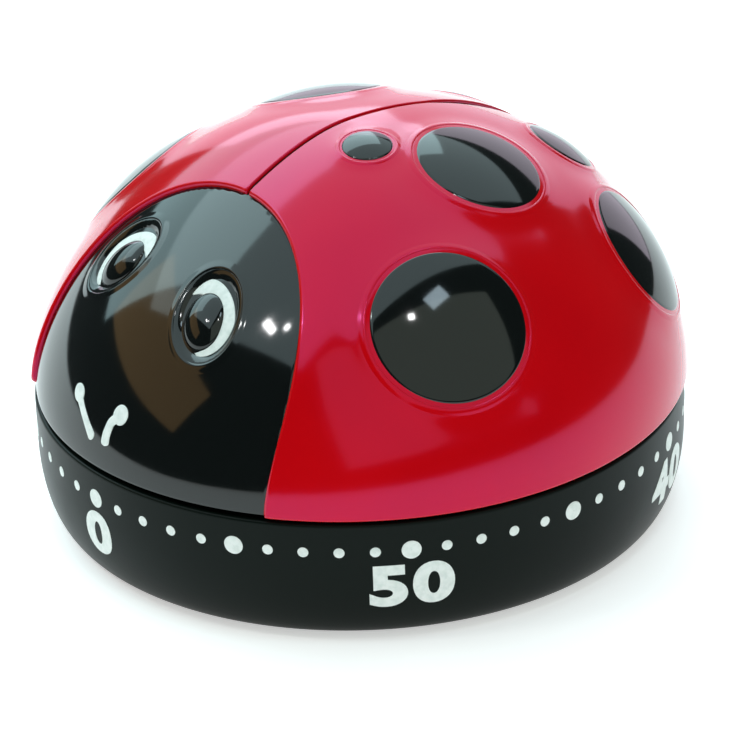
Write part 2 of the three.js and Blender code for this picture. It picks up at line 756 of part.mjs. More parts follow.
// ---------------------------------------------------------------------------------------------------------
// The main arbor and what is on it
// ---------------------------------------------------------------------------------------------------------

function makeMainArbor() {
  const low = plates.floor + arbor.endGap;
  const blank = turned(
    [[0, plates.lower + pressed], [mainArbor.pivot, plates.lower + pressed], [mainArbor.pivot, low],
      [mainArbor.radius, low], [mainArbor.radius, mainArbor.top], [0, mainArbor.top]],
    16,
  );
  const far = 2 * mainArbor.radius;
  const flat = box(mainArbor.radius - mainArbor.flat, far, -far, far, shell.hubBottom - 1, mainArbor.top + 1);
  return cutFrom(blank, flat);
}

// A dished washer that presses the main wheel on its seat, so that the wheel can slip while the timer is set.
function makeClutch() {
  const bottom = mainWheel.z + mainWheel.thickness + pressed;
  const inner = mainArbor.radius + pressed;
  const { radius, thickness, dish } = clutch;
  return turnedRing(
    [[inner, bottom + dish], [radius, bottom], [radius, bottom + thickness],
      [inner, bottom + dish + thickness]],
    16,
  );
}

// The nose of the release lever stands on the tangent from the hammer arbor to the rim of the cam.
const noseCircle = cam.radius + lever.gap + lever.width / 2;
const noseAngle = hammer.angle + Math.acos(noseCircle / hammer.out) / deg;
const nose = polar(noseCircle, noseAngle);

function makeCam() {
  const shape = new THREE.Shape();
  const { radius, notchDepth, notchHalf } = cam;
  shape.absarc(0, 0, radius, (noseAngle + notchHalf) * deg, (noseAngle - notchHalf + 360) * deg);
  const notchStart = (noseAngle - notchHalf + 6) * deg;
  const notchEnd = (noseAngle + notchHalf - 6) * deg;
  shape.absarc(0, 0, radius - notchDepth, notchStart, notchEnd);
  const blank = extruded(shape, cam.z, cam.z + cam.thickness, 12);
  return cutFrom(blank, cylinder(mainArbor.radius + pressed, 0, dome.top));
}

// A flat strip wound from the main arbor out to a pillar.
function makeMainspring() {
  const { inner, outer, turns, strip, bottom, width, steps } = mainspring;
  const count = turns * steps;
  const edgePoint = (i, side) => {
    const share = i / count;
    const radius = inner + (outer - inner) * share + (side * strip) / 2;
    return polar(radius, share * turns * 360 + 40);
  };
  const outside = Array.from({ length: count + 1 }, (_, i) => edgePoint(i, 1));
  const inside = Array.from({ length: count + 1 }, (_, i) => edgePoint(count - i, -1));
  return extruded(outline([...outside, ...inside]), bottom, bottom + width);
}

place("main_arbor", makeMainArbor(), colour.steel, metal);
place("clutch_washer", makeClutch(), colour.steel, metal);
place("alarm_cam", makeCam(), colour.brass, metal);
place("mainspring", makeMainspring(), colour.spring, metal);

// ---------------------------------------------------------------------------------------------------------
// The alarm: a star on the second arbor, and a hammer that the cam lets down into it
// ---------------------------------------------------------------------------------------------------------

// The follower stands on the tangent from the hammer arbor to the rim of the star.
const followerCircle = star.radius + star.gap + lever.width / 2;
const starDistance = Math.hypot(second.at[0] - hammer.at[0], second.at[1] - hammer.at[1]);
const followerTurn = bearing(hammer, second) - Math.asin(followerCircle / starDistance);
const followerLength = Math.sqrt(starDistance ** 2 - followerCircle ** 2);
const followerTip = [
  hammer.at[0] + followerLength * Math.cos(followerTurn),
  hammer.at[1] + followerLength * Math.sin(followerTurn),
];
const towardsFollower = Math.atan2(followerTip[1] - second.at[1], followerTip[0] - second.at[0]);
const gapFacing = towardsFollower + Math.PI / star.teeth;

function makeStar() {
  const points = [];
  for (let i = 0; i < star.teeth; i++) {
    const corners = [[star.root, -0.2], [star.radius, -0.06], [star.radius, 0.06], [star.root, 0.2]];
    for (const [radius, share] of corners) {
      const turn = gapFacing + ((i + share) / star.teeth) * 2 * Math.PI;
      points.push([radius * Math.cos(turn), radius * Math.sin(turn)]);
    }
  }
  const blank = extruded(outline(points), star.z, star.z + star.thickness);
  return cutFrom(blank, cylinder(arbor.radius + pressed, 0, dome.top, arborSides));
}
place("alarm_star", at(makeStar(), second.at), colour.steel, metal);

function makeHammerArbor() {
  const high = plates.upper - arbor.endGap;
  return turned(
    [[0, hammer.z - 0.2], [arbor.radius, hammer.z - 0.2], [arbor.radius, high], [arbor.pivot, high],
      [arbor.pivot, plates.roof - pressed], [0, plates.roof - pressed]],
    arborSides,
  );
}

// Each lever is an arm with a boss pressed on the hammer arbor.
function makeLever(tip, z) {
  const top = z + lever.thickness;
  return cutFrom(
    joined(armBetween(hammer.at, tip, lever.width, z, top), at(cylinder(1.8, z, top, 12), hammer.at)),
    at(cylinder(arbor.radius + pressed, 0, dome.top, arborSides), hammer.at),
  );
}

const headOut = gong.radius - gong.wall - hammer.gap - hammer.headRadius;
const headAt = polar(headOut, hammer.angle - angleBetween(hammer.out, headOut, hammer.arm));
const headBore = 0.5;

place("hammer_arbor", at(makeHammerArbor(), hammer.at), colour.steel, metal);
const armStem = at(cylinder(headBore, hammer.headBottom + 1, hammer.z + hammer.thickness, 8), headAt);
place("hammer_arm", makeLever(headAt, hammer.z).add(armStem), colour.steel, metal);
const headBlank = cylinder(hammer.headRadius, hammer.headBottom, hammer.z - pressed, 12);
const headHole = cylinder(headBore + pressed, hammer.headBottom + 1 - pressed, hammer.z, 8);
place("hammer_head", at(cutFrom(headBlank, headHole), headAt), colour.brass, metal);

place("release_lever", makeLever(nose, cam.z + 0.1), colour.steel, metal);
place("star_follower", makeLever(followerTip, star.z + 0.2), colour.steel, metal);

// A torsion spring round the hammer arbor: a helix with a straight leg at each end.
function makeHammerSpring() {
  const { turns, wire, gap, z, pitch, leg } = coil;
  const radius = arbor.radius + gap + wire;
  const perTurn = 8;
  const points = [new THREE.Vector3(radius, -leg, z)];
  for (let i = 0; i <= turns * perTurn; i++) {
    const turn = (i / perTurn) * 2 * Math.PI;
    const height = z + (pitch * i) / perTurn;
    points.push(new THREE.Vector3(radius * Math.cos(turn), radius * Math.sin(turn), height));
  }
  points.push(new THREE.Vector3(radius, leg, z + pitch * turns));
  const section = new THREE.Shape().absarc(0, 0, wire, 0, 2 * Math.PI);
  const extrudePath = new THREE.CatmullRomCurve3(points);
  const settings = { steps: 32, extrudePath, curveSegments: 3, bevelEnabled: false };
  return solidOf(new THREE.ExtrudeGeometry(section, settings));
}
place("hammer_spring", at(makeHammerSpring(), hammer.at), colour.spring, metal);

export default timer;
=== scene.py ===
# %% [markdown]
# # A ladybird kitchen timer
#
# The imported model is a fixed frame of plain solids. This lesson puts finished surfaces round it: a black
# body, two red wing covers, nine domed spots, a face, a printed dial ring and the underside. Each
# surface is worked out with numpy as a grid of points, because a formula keeps a gloss surface free of
# bumps that modelling by hand would leave in its reflections.

# %% Load the frame and measure it
import json
import math

import bmesh
import bpy
import numpy as np
from mathutils import Matrix, Vector


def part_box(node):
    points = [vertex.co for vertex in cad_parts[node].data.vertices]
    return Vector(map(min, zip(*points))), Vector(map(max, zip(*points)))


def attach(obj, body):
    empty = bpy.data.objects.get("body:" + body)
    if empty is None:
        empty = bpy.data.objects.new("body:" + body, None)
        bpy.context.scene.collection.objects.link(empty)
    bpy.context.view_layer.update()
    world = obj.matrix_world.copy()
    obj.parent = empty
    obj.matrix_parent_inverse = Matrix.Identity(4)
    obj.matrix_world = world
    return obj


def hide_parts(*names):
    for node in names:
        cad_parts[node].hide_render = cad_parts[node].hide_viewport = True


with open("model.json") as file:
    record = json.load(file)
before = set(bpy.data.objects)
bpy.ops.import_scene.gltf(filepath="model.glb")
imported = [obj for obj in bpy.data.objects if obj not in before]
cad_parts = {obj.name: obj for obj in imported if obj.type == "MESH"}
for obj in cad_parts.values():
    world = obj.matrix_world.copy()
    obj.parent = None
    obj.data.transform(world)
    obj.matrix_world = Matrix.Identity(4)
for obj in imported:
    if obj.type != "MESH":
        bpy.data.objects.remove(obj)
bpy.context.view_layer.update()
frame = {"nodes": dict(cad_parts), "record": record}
MM = 0.001

# %% [markdown]
# ## Sizes
#
# The seam between the turning shell and the dial ring, the dome's radius and its height are read from
# the frame, so the finished surfaces stay on the solids they dress. What is only a matter of looks, such
# as the roundness of an edge, is a value of its own here.

# %% Sizes
ring_low, ring_high = (np.array(v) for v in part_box("dial_ring"))
wing_low, wing_high = (np.array(v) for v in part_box("left_wing"))

DOME_RADIUS = wing_high[0]
SEAM = wing_low[2]
DOME_HEIGHT = wing_high[2] - SEAM
RING_RADIUS = ring_high[0]
RING_TOP = ring_high[2]
RING_BOTTOM = ring_low[2]

EXPONENT_FRONT, EXPONENT_SIDE, EXPONENT_BACK = 1.52, 1.88, 2.1
EXPONENT_SPREAD = 2.1
CROWN = 0.2  # share of the radius over which the crown is rounded off

WING_PROUD = 0.6 * MM
WING_THICKNESS = 1.2 * MM
SHELL_UNDER = 1.5 * MM
WING_EDGE = 0.45 * MM
SLIT_EDGE = 0.22 * MM
GROOVE = 0.25 * MM
NOTCH_START = 11 * MM
NOTCH_SLOPE = 0.115
FACE_BACK, FACE_HALF_WIDTH, FACE_LENGTH = 15.1 * MM, 22.4 * MM, 17.2 * MM

# Angle from the head in degrees, distance from the axis in mm and radius in mm, as the solids have them.
# The right wing mirrors the left one's, all but the lone small spot by the slit.
SPOTS = [(72.0, 29.9, 8.9), (115.4, 16.1, 7.5), (136.1, 33.3, 8.1), (158.5, 25.3, 4.3)]
LONE_SPOT = (67.9, 6.95, 2.9)

NUDGE = 0.001 * MM  # the step over which a slope is measured
MERGE = 0.0001 * MM  # points nearer than this become one
FAR_SIDE = 12 * MM  # how far behind a feature's plane a point lies on the other side of the dome
FAR_AWAY = 1.0
print("dome", DOME_RADIUS / MM, DOME_HEIGHT / MM, "seam", SEAM / MM, "ring", RING_RADIUS / MM)

# %% [markdown]
# ## The dome as a formula
#
# A ladybird's back isn't a sphere: it slopes towards the head and is full behind. It could be sculpted,
# or smoothed from a coarse cage, but every later piece has to lie on it exactly, and a formula can be
# asked anywhere for its height and its normal. A superellipse says the shape with one number, its
# exponent, which changes smoothly with the angle round the dome. Points are made from two parameters:
# the angle from the head, and how far out from the crown.

# %% Dome functions
def exponent(angle):
    """Side value, moved towards the front or back value by |cos(angle)| to the spread."""
    cosine = np.cos(angle)
    end = np.where(cosine > 0, EXPONENT_FRONT, EXPONENT_BACK)
    return EXPONENT_SIDE + (end - EXPONENT_SIDE) * np.abs(cosine) ** EXPONENT_SPREAD


def crown_share(out, n):
    """((out^2 + c^2)^(n/2) - c^n), scaled to 1 at out = 1: out^n with its sharp crown rounded off by c."""
    scale = (1 + CROWN**2) ** (n / 2) - CROWN**n
    return ((out**2 + CROWN**2) ** (n / 2) - CROWN**n) / scale


def crown_out(share, n):
    """The inverse of crown_share."""
    scale = (1 + CROWN**2) ** (n / 2) - CROWN**n
    return np.sqrt(np.maximum((share * scale + CROWN**n) ** (2 / n) - CROWN**2, 0))


def dome_points(angle, spread):
    """Out = R * crown_out(cos^2 rise), height = H * sin(rise)^(2/n); rise is a quarter turn at spread 0."""
    n = exponent(angle)
    rise = (1 - spread) * math.pi / 2
    out = DOME_RADIUS * crown_out(np.cos(rise) ** 2, n)
    height = DOME_HEIGHT * np.sin(rise) ** (2 / n)
    return np.stack([out * np.sin(angle), -out * np.cos(angle), SEAM + height], axis=-1)


def dome_level(points):
    """Zero on the dome, negative inside: crown_share(out) + (height / H)^n - 1."""
    x, y, z = points[..., 0], points[..., 1], points[..., 2]
    n = exponent(np.arctan2(x, -y))
    height = np.maximum(z - SEAM, 0) / DOME_HEIGHT
    return crown_share(np.hypot(x, y) / DOME_RADIUS, n) + height**n - 1


def dome_normals(points):
    """The gradient of dome_level by central differences, made unit length and level at the seam."""
    safe = points.copy()
    safe[..., 2] = np.maximum(safe[..., 2], SEAM + 0.02 * MM)
    slopes = []
    for axis in np.eye(3):
        slopes.append(dome_level(safe + NUDGE * axis) - dome_level(safe - NUDGE * axis))
    normal = np.stack(slopes, axis=-1)
    return normal / np.linalg.norm(normal, axis=-1, keepdims=True)


def spread_of(points):
    """How far out from the crown a point of the dome lies, by its distance from the axis."""
    x, y = points[..., 0], points[..., 1]
    n = exponent(np.arctan2(x, -y))
    share = np.clip(crown_share(np.hypot(x, y) / DOME_RADIUS, n), 0, 1)
    return 1 - np.arccos(np.sqrt(share)) / (math.pi / 2)


def drop_to_dome(points, directions, rounds=12):
    """Newton's method along each direction until dome_level is zero."""
    points = points.copy()
    least_slope, longest = 1e-3, 4 * MM
    for _ in range(rounds):
        level = dome_level(points)
        slope = (dome_level(points + NUDGE * directions) - level) / NUDGE
        move = -level / np.where(np.abs(slope) < least_slope, least_slope, slope)
        move = np.clip(move, -longest, longest)
        points += move[..., None] * directions
    return points


crown_point = dome_points(np.array(0.0), np.array(0.0))
print("crown at", crown_point / MM, "normal", dome_normals(crown_point[None])[0].round(3))

# %% [markdown]
# ## From a grid to a mesh
#
# A piece could be built face by face in bmesh, but a gloss surface needs many thousands of even faces.
# So every piece is a grid of points with rows and columns. One function turns such a grid into a mesh
# with `foreach_set`, which copies whole arrays at once, joins the last column to the first where the
# grid runs round, and closes a row that shrinks to a point.

# %% Mesh helpers
def grid_faces(rows, columns):
    """Quads between neighbouring rows and columns, wrapping round from the last column to the first."""
    row, column = np.meshgrid(np.arange(rows - 1), np.arange(columns), indexing="ij")
    following = (column + 1) % columns
    a = row * columns + column
    b = row * columns + following
    return np.stack([a, b, b + columns, a + columns], axis=-1).reshape(-1, 4)


def mesh_piece(name, points, faces, body, material, stands_for=(), slot=None):
    """A piece from an array of points and an array of faces, which rides on a body of the frame."""
    mesh = bpy.data.meshes.new(name)
    points = np.ascontiguousarray(points.reshape(-1, 3), dtype=np.float32)
    faces = np.asarray(faces)
    mesh.vertices.add(len(points))
    mesh.vertices.foreach_set("co", points.ravel())
    mesh.loops.add(faces.size)
    mesh.loops.foreach_set("vertex_index", faces.ravel().astype(np.int32))
    mesh.polygons.add(len(faces))
    mesh.polygons.foreach_set("loop_start", np.arange(0, faces.size, faces.shape[1], dtype=np.int32))
    mesh.polygons.foreach_set("use_smooth", np.ones(len(faces), dtype=bool))
    mesh.update(calc_edges=True)
    tidy = bmesh.new()
    tidy.from_mesh(mesh)
    bmesh.ops.remove_doubles(tidy, verts=tidy.verts, dist=MERGE)
    bmesh.ops.recalc_face_normals(tidy, faces=tidy.faces)
    tidy.to_mesh(mesh)
    tidy.free()
    piece = bpy.data.objects.new(name, mesh)
    bpy.context.scene.collection.objects.link(piece)
    piece.data.materials.append(material)
    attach(piece, body)
    if stands_for:
        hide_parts(*stands_for)
    return piece


def grid_piece(name, points, body, material, **facts):
    """A piece from a grid of points, rows first, whose last column joins the first."""
    rows, columns = points.shape[:2]
    return mesh_piece(name, points, grid_faces(rows, columns), body, material, **facts)


def turned_points(profile, columns):
    """A profile of (radius, height) pairs carried once round the Z axis."""
    profile = np.asarray(profile, dtype=float)
    turn = np.linspace(0, 2 * math.pi, columns, endpoint=False)
    x = profile[:, :1] * np.cos(turn)
    y = profile[:, :1] * np.sin(turn)
    z = np.repeat(profile[:, 1:], columns, axis=1)
    return np.stack([x, y, z], axis=-1)


def rounded(corners, steps=5):
    """A profile with each corner (radius, height, fillet) rounded by a quadratic curve between its two
    tangents."""
    made = []
    count = len(corners)
    for i, (radius, height, fillet) in enumerate(corners):
        here = np.array([radius, height])
        if fillet == 0 or i in (0, count - 1):
            made.append(here)
            continue
        before = np.array(corners[i - 1][:2]) - here
        after = np.array(corners[i + 1][:2]) - here
        reach_before = min(fillet, np.linalg.norm(before) / 2)
        reach_after = min(fillet, np.linalg.norm(after) / 2)
        start = here + before / np.linalg.norm(before) * reach_before
        end = here + after / np.linalg.norm(after) * reach_after
        for t in np.linspace(0, 1, steps):
            made.append((1 - t) ** 2 * start + 2 * t * (1 - t) * here + t**2 * end)
    return np.array(made)


print("a grid of 3 by 4 points has", len(grid_faces(3, 4)), "faces")

# %% [markdown]
# ## Materials
#
# One helper adds a node with its settings and links. Colours are written as the sRGB values that a paint
# chart would show, and one function turns them to the linear values that light needs.

# %% Material helpers
def linear(code):
    """sRGB hex to linear RGBA: (c / 12.92) below 0.04045, else ((c + 0.055) / 1.055)^2.4."""
    values = [int(code[i : i + 2], 16) / 255 for i in (1, 3, 5)]
    rgb = [v / 12.92 if v <= 0.04045 else ((v + 0.055) / 1.055) ** 2.4 for v in values]
    return (*rgb, 1.0)


def link_to(tree, node, links):
    """Links each source to the node's socket of that name."""
    for socket, source in links.items():
        tree.links.new(source, node.inputs[socket])


def add_node(tree, kind, links=None, **settings):
    """Adds a node. A setting whose name is an input goes into that socket, any other is a property of the
    node."""
    node = tree.nodes.new(kind)
    for name, value in settings.items():
        socket = name.replace("_", " ").title()
        if socket in node.inputs:
            node.inputs[socket].default_value = value
        else:
            setattr(node, name, value)
    link_to(tree, node, links or {})
    return node


def new_material(name, **shader):
    """A material with an empty Principled shader set to the given values, and its tree, shader and
    coordinates."""
    material = bpy.data.materials.new(name)
    material.use_nodes = True
    tree = material.node_tree
    principled = tree.nodes["Principled BSDF"]
    for socket, value in shader.items():
        principled.inputs[socket.replace("_", " ").title().replace("Ior", "IOR")].default_value = value
    where = add_node(tree, "ShaderNodeTexCoord").outputs["Object"]
    return material, tree, principled, where


def per_mm(wave_mm):
    """The texture scale that gives one wave every so many millimetres on coordinates in metres."""
    return 1000 / wave_mm


print("mid grey #808080 in linear light:", round(linear("#808080")[0], 3))

# %% [markdown]
# ## Finishes
#
# The body is black ABS from a polished mould: nearly a mirror, with the slow ripple that cooling plastic
# gets. The wings are ABS with a clear red lacquer over a bright ground, so reflections come back pink
# and the shaded parts stay deep red. The dial ring has a satin mould finish, and the marks on it are
# pad-printed ink. A painted image could carry the unevenness of each, but noise on Object coordinates
# needs no unwrapping and has its real size everywhere.

# %% Black and red plastic
def gloss_black():
    """Polished black ABS: a mirror gloss, a slow ripple 7 mm long, and a haze from handling."""
    material, tree, principled, where = new_material("polished_black_abs", ior=1.53)
    principled.inputs["Base Color"].default_value = linear("#060a09")
    ripple = add_node(tree, "ShaderNodeTexNoise", {"Vector": where}, scale=per_mm(7), detail=1.0)
    haze = add_node(tree, "ShaderNodeTexNoise", {"Vector": where}, scale=per_mm(2.2), detail=4.0)
    gloss = add_node(tree, "ShaderNodeMapRange", {"Value": haze.outputs["Fac"]}, to_min=0.045, to_max=0.10)
    height = {"Height": ripple.outputs["Fac"]}
    bump = add_node(tree, "ShaderNodeBump", height, strength=0.10, distance=0.12 * MM)
    link_to(tree, principled, {"Roughness": gloss.outputs["Result"], "Normal": bump.outputs["Normal"]})
    return material


def lacquer_red():
    """Red lacquer on moulded ABS: deep red, reflections tinted pink, a thin clear coat, a ripple 6 mm
    long."""
    material, tree, principled, where = new_material("clear_red_lacquer_on_abs", ior=1.5)
    principled.inputs["Specular IOR Level"].default_value = 0.75
    principled.inputs["Specular Tint"].default_value = linear("#ff7ae0")
    principled.inputs["Coat Weight"].default_value = 0.10
    principled.inputs["Coat Roughness"].default_value = 0.03
    principled.inputs["Coat IOR"].default_value = 1.45
    ripple = add_node(tree, "ShaderNodeTexNoise", {"Vector": where}, scale=per_mm(6), detail=1.0)
    depth = add_node(tree, "ShaderNodeTexNoise", {"Vector": where}, scale=per_mm(16), detail=2.0)
    shade = add_node(tree, "ShaderNodeValToRGB", {"Fac": depth.outputs["Fac"]})
    shade.color_ramp.elements[0].color = linear("#c20002")
    shade.color_ramp.elements[1].color = linear("#d90504")
    gloss = add_node(tree, "ShaderNodeMapRange", {"Value": depth.outputs["Fac"]}, to_min=0.09, to_max=0.15)
    height = {"Height": ripple.outputs["Fac"]}
    bump = add_node(tree, "ShaderNodeBump", height, strength=0.12, distance=0.12 * MM)
    link_to(tree, principled, {
        "Base Color": shade.outputs["Color"],
        "Roughness": gloss.outputs["Result"],
        "Normal": bump.outputs["Normal"],
    })
    return material


BLACK = gloss_black()
RED = lacquer_red()
print("gloss finishes:", BLACK.name, RED.name)


# %% Ring, ink and rubber
def satin_black():
    """Black ABS from a lightly grained mould: a soft sheen, with a grain drawn 0.5 mm wide so that it
    shows."""
    material, tree, principled, where = new_material("satin_black_abs", ior=1.53)
    principled.inputs["Base Color"].default_value = linear("#07100c")
    principled.inputs["Specular IOR Level"].default_value = 0.10
    grain = add_node(tree, "ShaderNodeTexNoise", {"Vector": where}, scale=per_mm(0.5), detail=3.0)
    wear = add_node(tree, "ShaderNodeTexNoise", {"Vector": where}, scale=per_mm(9), detail=3.0)
    gloss = add_node(tree, "ShaderNodeMapRange", {"Value": wear.outputs["Fac"]}, to_min=0.30, to_max=0.42)
    height = {"Height": grain.outputs["Fac"]}
    bump = add_node(tree, "ShaderNodeBump", height, strength=0.15, distance=0.03 * MM)
    link_to(tree, principled, {"Roughness": gloss.outputs["Result"], "Normal": bump.outputs["Normal"]})
    return material


def white_ink():
    """Pad-printed white ink: matt, a little uneven in thickness, so that the black shows through faintly."""
    material, tree, principled, where = new_material("pad_printed_white_ink", roughness=0.55, ior=1.48)
    cover = add_node(tree, "ShaderNodeTexNoise", {"Vector": where}, scale=per_mm(0.8), detail=4.0)
    shade = add_node(tree, "ShaderNodeValToRGB", {"Fac": cover.outputs["Fac"]})
    shade.color_ramp.elements[0].position = 0.3
    shade.color_ramp.elements[0].color = linear("#dfe5e1")
    shade.color_ramp.elements[1].position = 0.6
    shade.color_ramp.elements[1].color = linear("#f1f4f1")
    height = {"Height": cover.outputs["Fac"]}
    bump = add_node(tree, "ShaderNodeBump", height, strength=0.2, distance=0.02 * MM)
    link_to(tree, principled, {"Base Color": shade.outputs["Color"], "Normal": bump.outputs["Normal"]})
    return material


def soft_rubber():
    """Moulded black rubber: no shine, with a fine dusty mottle."""
    material, tree, principled, where = new_material("moulded_black_rubber", ior=1.52)
    principled.inputs["Base Color"].default_value = linear("#1c1c1c")
    dust = add_node(tree, "ShaderNodeTexNoise", {"Vector": where}, scale=per_mm(0.6), detail=4.0)
    gloss = add_node(tree, "ShaderNodeMapRange", {"Value": dust.outputs["Fac"]}, to_min=0.75, to_max=0.95)
    height = {"Height": dust.outputs["Fac"]}
    bump = add_node(tree, "ShaderNodeBump", height, strength=0.3, distance=0.05 * MM)
    link_to(tree, principled, {"Roughness": gloss.outputs["Result"], "Normal": bump.outputs["Normal"]})
    return material


SATIN = satin_black()
INK = white_ink()
RUBBER = soft_rubber()
print("matt finishes:", SATIN.name, INK.name, RUBBER.name)

# %% [markdown]
# ## Metals of the movement
#
# The movement's metals are sheet and rod. Rolled sheet has fine lines along one direction. An
# anisotropic shader could spread the highlight across them, but the lines themselves would be missing,
# so a noise that is stretched along X draws them in colour and roughness. A blued spring is the same
# steel with a thin oxide, which turns it dark blue.

# %% Metals
def rolled_metal(name, dark, bright, low, high):
    """Rolled sheet: lines 0.3 mm apart and 8 mm long in colour and roughness."""
    material, tree, principled, where = new_material(name, metallic=1.0)
    along = add_node(tree, "ShaderNodeMapping", {"Vector": where})
    along.inputs["Scale"].default_value = (per_mm(8), per_mm(0.3), per_mm(3))
    lines = add_node(tree, "ShaderNodeTexNoise", {"Vector": along.outputs["Vector"]}, scale=1.0, detail=3.0)
    shade = add_node(tree, "ShaderNodeValToRGB", {"Fac": lines.outputs["Fac"]})
    shade.color_ramp.elements[0].color = linear(dark)
    shade.color_ramp.elements[1].color = linear(bright)
    gloss = add_node(tree, "ShaderNodeMapRange", {"Value": lines.outputs["Fac"]}, to_min=low, to_max=high)
    height = {"Height": lines.outputs["Fac"]}
    bump = add_node(tree, "ShaderNodeBump", height, strength=0.2, distance=0.01 * MM)
    link_to(tree, principled, {
        "Base Color": shade.outputs["Color"],
        "Roughness": gloss.outputs["Result"],
        "Normal": bump.outputs["Normal"],
    })
    return material


METALS = {
    "steel": rolled_metal("zinc_plated_sheet_steel", "#a3a6a8", "#d0d2d3", 0.25, 0.40),
    "brass": rolled_metal("rolled_brass", "#b48a35", "#d9b562", 0.20, 0.34),
    "nickel": rolled_metal("nickel_plated_steel", "#b5b3ac", "#dcdad2", 0.12, 0.22),
    "spring": rolled_metal("blued_spring_steel", "#27303a", "#4b5866", 0.22, 0.34),
}
DRESSED = {"shell": BLACK, "wing": RED, "ring": SATIN, "rubber": RUBBER, **METALS}
for entry in frame["record"]["subparts"]:
    solid = frame["nodes"][entry["node"]]
    solid.data.materials.clear()
    solid.data.materials.append(DRESSED[entry["material_slot"]])

# %% [markdown]
# ## Relief on the dome
#
# The wings swell a little round each spot, as if the spot were pressed up through them, and every edge
# of a wing is rounded. A Bevel modifier needs clean edge loops, which these curved edges don't have.
# Both are heights along the dome's normal, worked out from a point's distance to the feature. Nothing is
# modelled by hand, so the reflections run smoothly over it.

# %% Distances and heights
def spot_frames():
    """Label, centre, normal and radius of every spot: the left wing's first, then their mirror images."""
    frames = []
    for wing, side, spots in (("left", 1, [*SPOTS, LONE_SPOT]), ("right", -1, SPOTS)):
        for number, (angle, out, radius) in enumerate(spots, 1):
            turn = side * math.radians(angle)
            centre = from_plan(np.array(turn), np.array(out * MM))
            frames.append((f"{wing}_{number}", centre, dome_normals(centre[None])[0], radius * MM))
    return frames


def from_plan(angle, out):
    """The point of the dome over a point given by its angle from the head and its distance from the axis."""
    n = exponent(angle)
    share = np.clip(crown_share(out / DOME_RADIUS, n), 0, 1)
    height = DOME_HEIGHT * (1 - share) ** (1 / n)
    return np.stack([out * np.sin(angle), -out * np.cos(angle), SEAM + height], axis=-1)


def smooth_step(value):
    """3 v^2 - 2 v^3, with v held between 0 and 1."""
    held = np.clip(value, 0, 1)
    return held * held * (3 - 2 * held)


def axis_distance(points, centre, normal):
    """Distance from the line through centre along normal; far away for points on the other side of the
    dome."""
    away = points - centre
    along = away @ normal
    distance = np.sqrt(np.maximum((away**2).sum(axis=-1) - along**2, 0))
    return np.where(along < -FAR_SIDE, FAR_AWAY, distance)


SWELL_WIDTH, SWELL_RISE = 1.9 * MM, 0.30 * MM
LEAST_RELIEF, FULL_RADIUS = 0.35, 7 * MM


def spot_size(radius):
    """The scale of a spot's relief: least + (1 - least) * radius / full radius, and 1 from there on."""
    return min(1.0, LEAST_RELIEF + (1 - LEAST_RELIEF) * radius / FULL_RADIUS)


def spot_swell(points):
    """A rise under and round each spot that fades out as exp(-(distance / width)^2)."""
    height = np.zeros(points.shape[:-1])
    for _, centre, normal, radius in FRAMES:
        size = spot_size(radius)
        away = np.maximum(axis_distance(points, centre, normal) - radius, 0)
        height += SWELL_RISE * size * np.exp(-((away / (SWELL_WIDTH * size)) ** 2))
    return height


def edge_drop(distance, radius):
    """Quarter round: radius - sqrt(radius^2 - (radius - distance)^2) within the radius of an edge."""
    depth = np.clip(radius - distance, 0, radius)
    return radius - np.sqrt(np.maximum(radius**2 - depth**2, 0))


def face_distance(points):
    """Signed distance from the face's plan ellipse, positive outside: (q - 1) / |gradient of q|."""
    x = points[..., 0] / FACE_HALF_WIDTH
    y = (points[..., 1] + FACE_BACK + FACE_LENGTH) / FACE_LENGTH
    q = np.sqrt(x**2 + y**2) + 1e-9
    slope = np.sqrt((x / FACE_HALF_WIDTH) ** 2 + (y / FACE_LENGTH) ** 2) / q + 1e-9
    return (q - 1) / slope


def groove_half(y):
    """Half the width of the slit between the wings, which opens behind the crown."""
    return GROOVE + NOTCH_SLOPE * np.maximum(y - NOTCH_START, 0)


FRAMES = spot_frames()
print("spots at, mm:", [tuple((centre / MM).round(1)) for _, centre, _, _ in FRAMES[:5]])

# %% [markdown]
# ## The wing covers
#
# A wing is a thin red moulding with three edges: the slit, the face and the rim. It could be cut out of
# the dome with a Boolean modifier, but the slivers along the cut would show in the gloss. Rays run from
# a point inside the wing to every point of its outline, laid out flat as a map of the dome, so the grid
# follows all three edges. Past the outline the grid goes down the wall and back along the underside,
# which closes the shell.

# %% The wing's outline
WING_STEP = 0.26 * MM
WING_CENTRE = np.array([0.5, -0.08])
RAY_ROWS, RAY_EASE, RAY_END = 76, 1.35, 0.06  # rows along a ray crowd towards the outline
NEAR_CENTRE = 0.002


def flat_map(points):
    """A map of the dome: distance from the middle is the spread, direction is the angle from the head."""
    angle = np.arctan2(points[..., 0], -points[..., 1])
    spread = spread_of(points)
    return np.stack([spread * np.sin(angle), -spread * np.cos(angle)], axis=-1)


def from_map(flat):
    """The point of the dome for a point of the map."""
    angle = np.arctan2(flat[..., 0], -flat[..., 1])
    return dome_points(angle, np.clip(np.hypot(flat[..., 0], flat[..., 1]), 0, 1))


def even(points, step):
    """A polyline resampled at even steps of its length, without its last point."""
    reach = np.concatenate([[0], np.cumsum(np.linalg.norm(np.diff(points, axis=0), axis=1))])
    wanted = np.linspace(0, reach[-1], max(8, round(reach[-1] / step)), endpoint=False)
    return np.stack([np.interp(wanted, reach, points[:, k]) for k in range(points.shape[1])], axis=1)


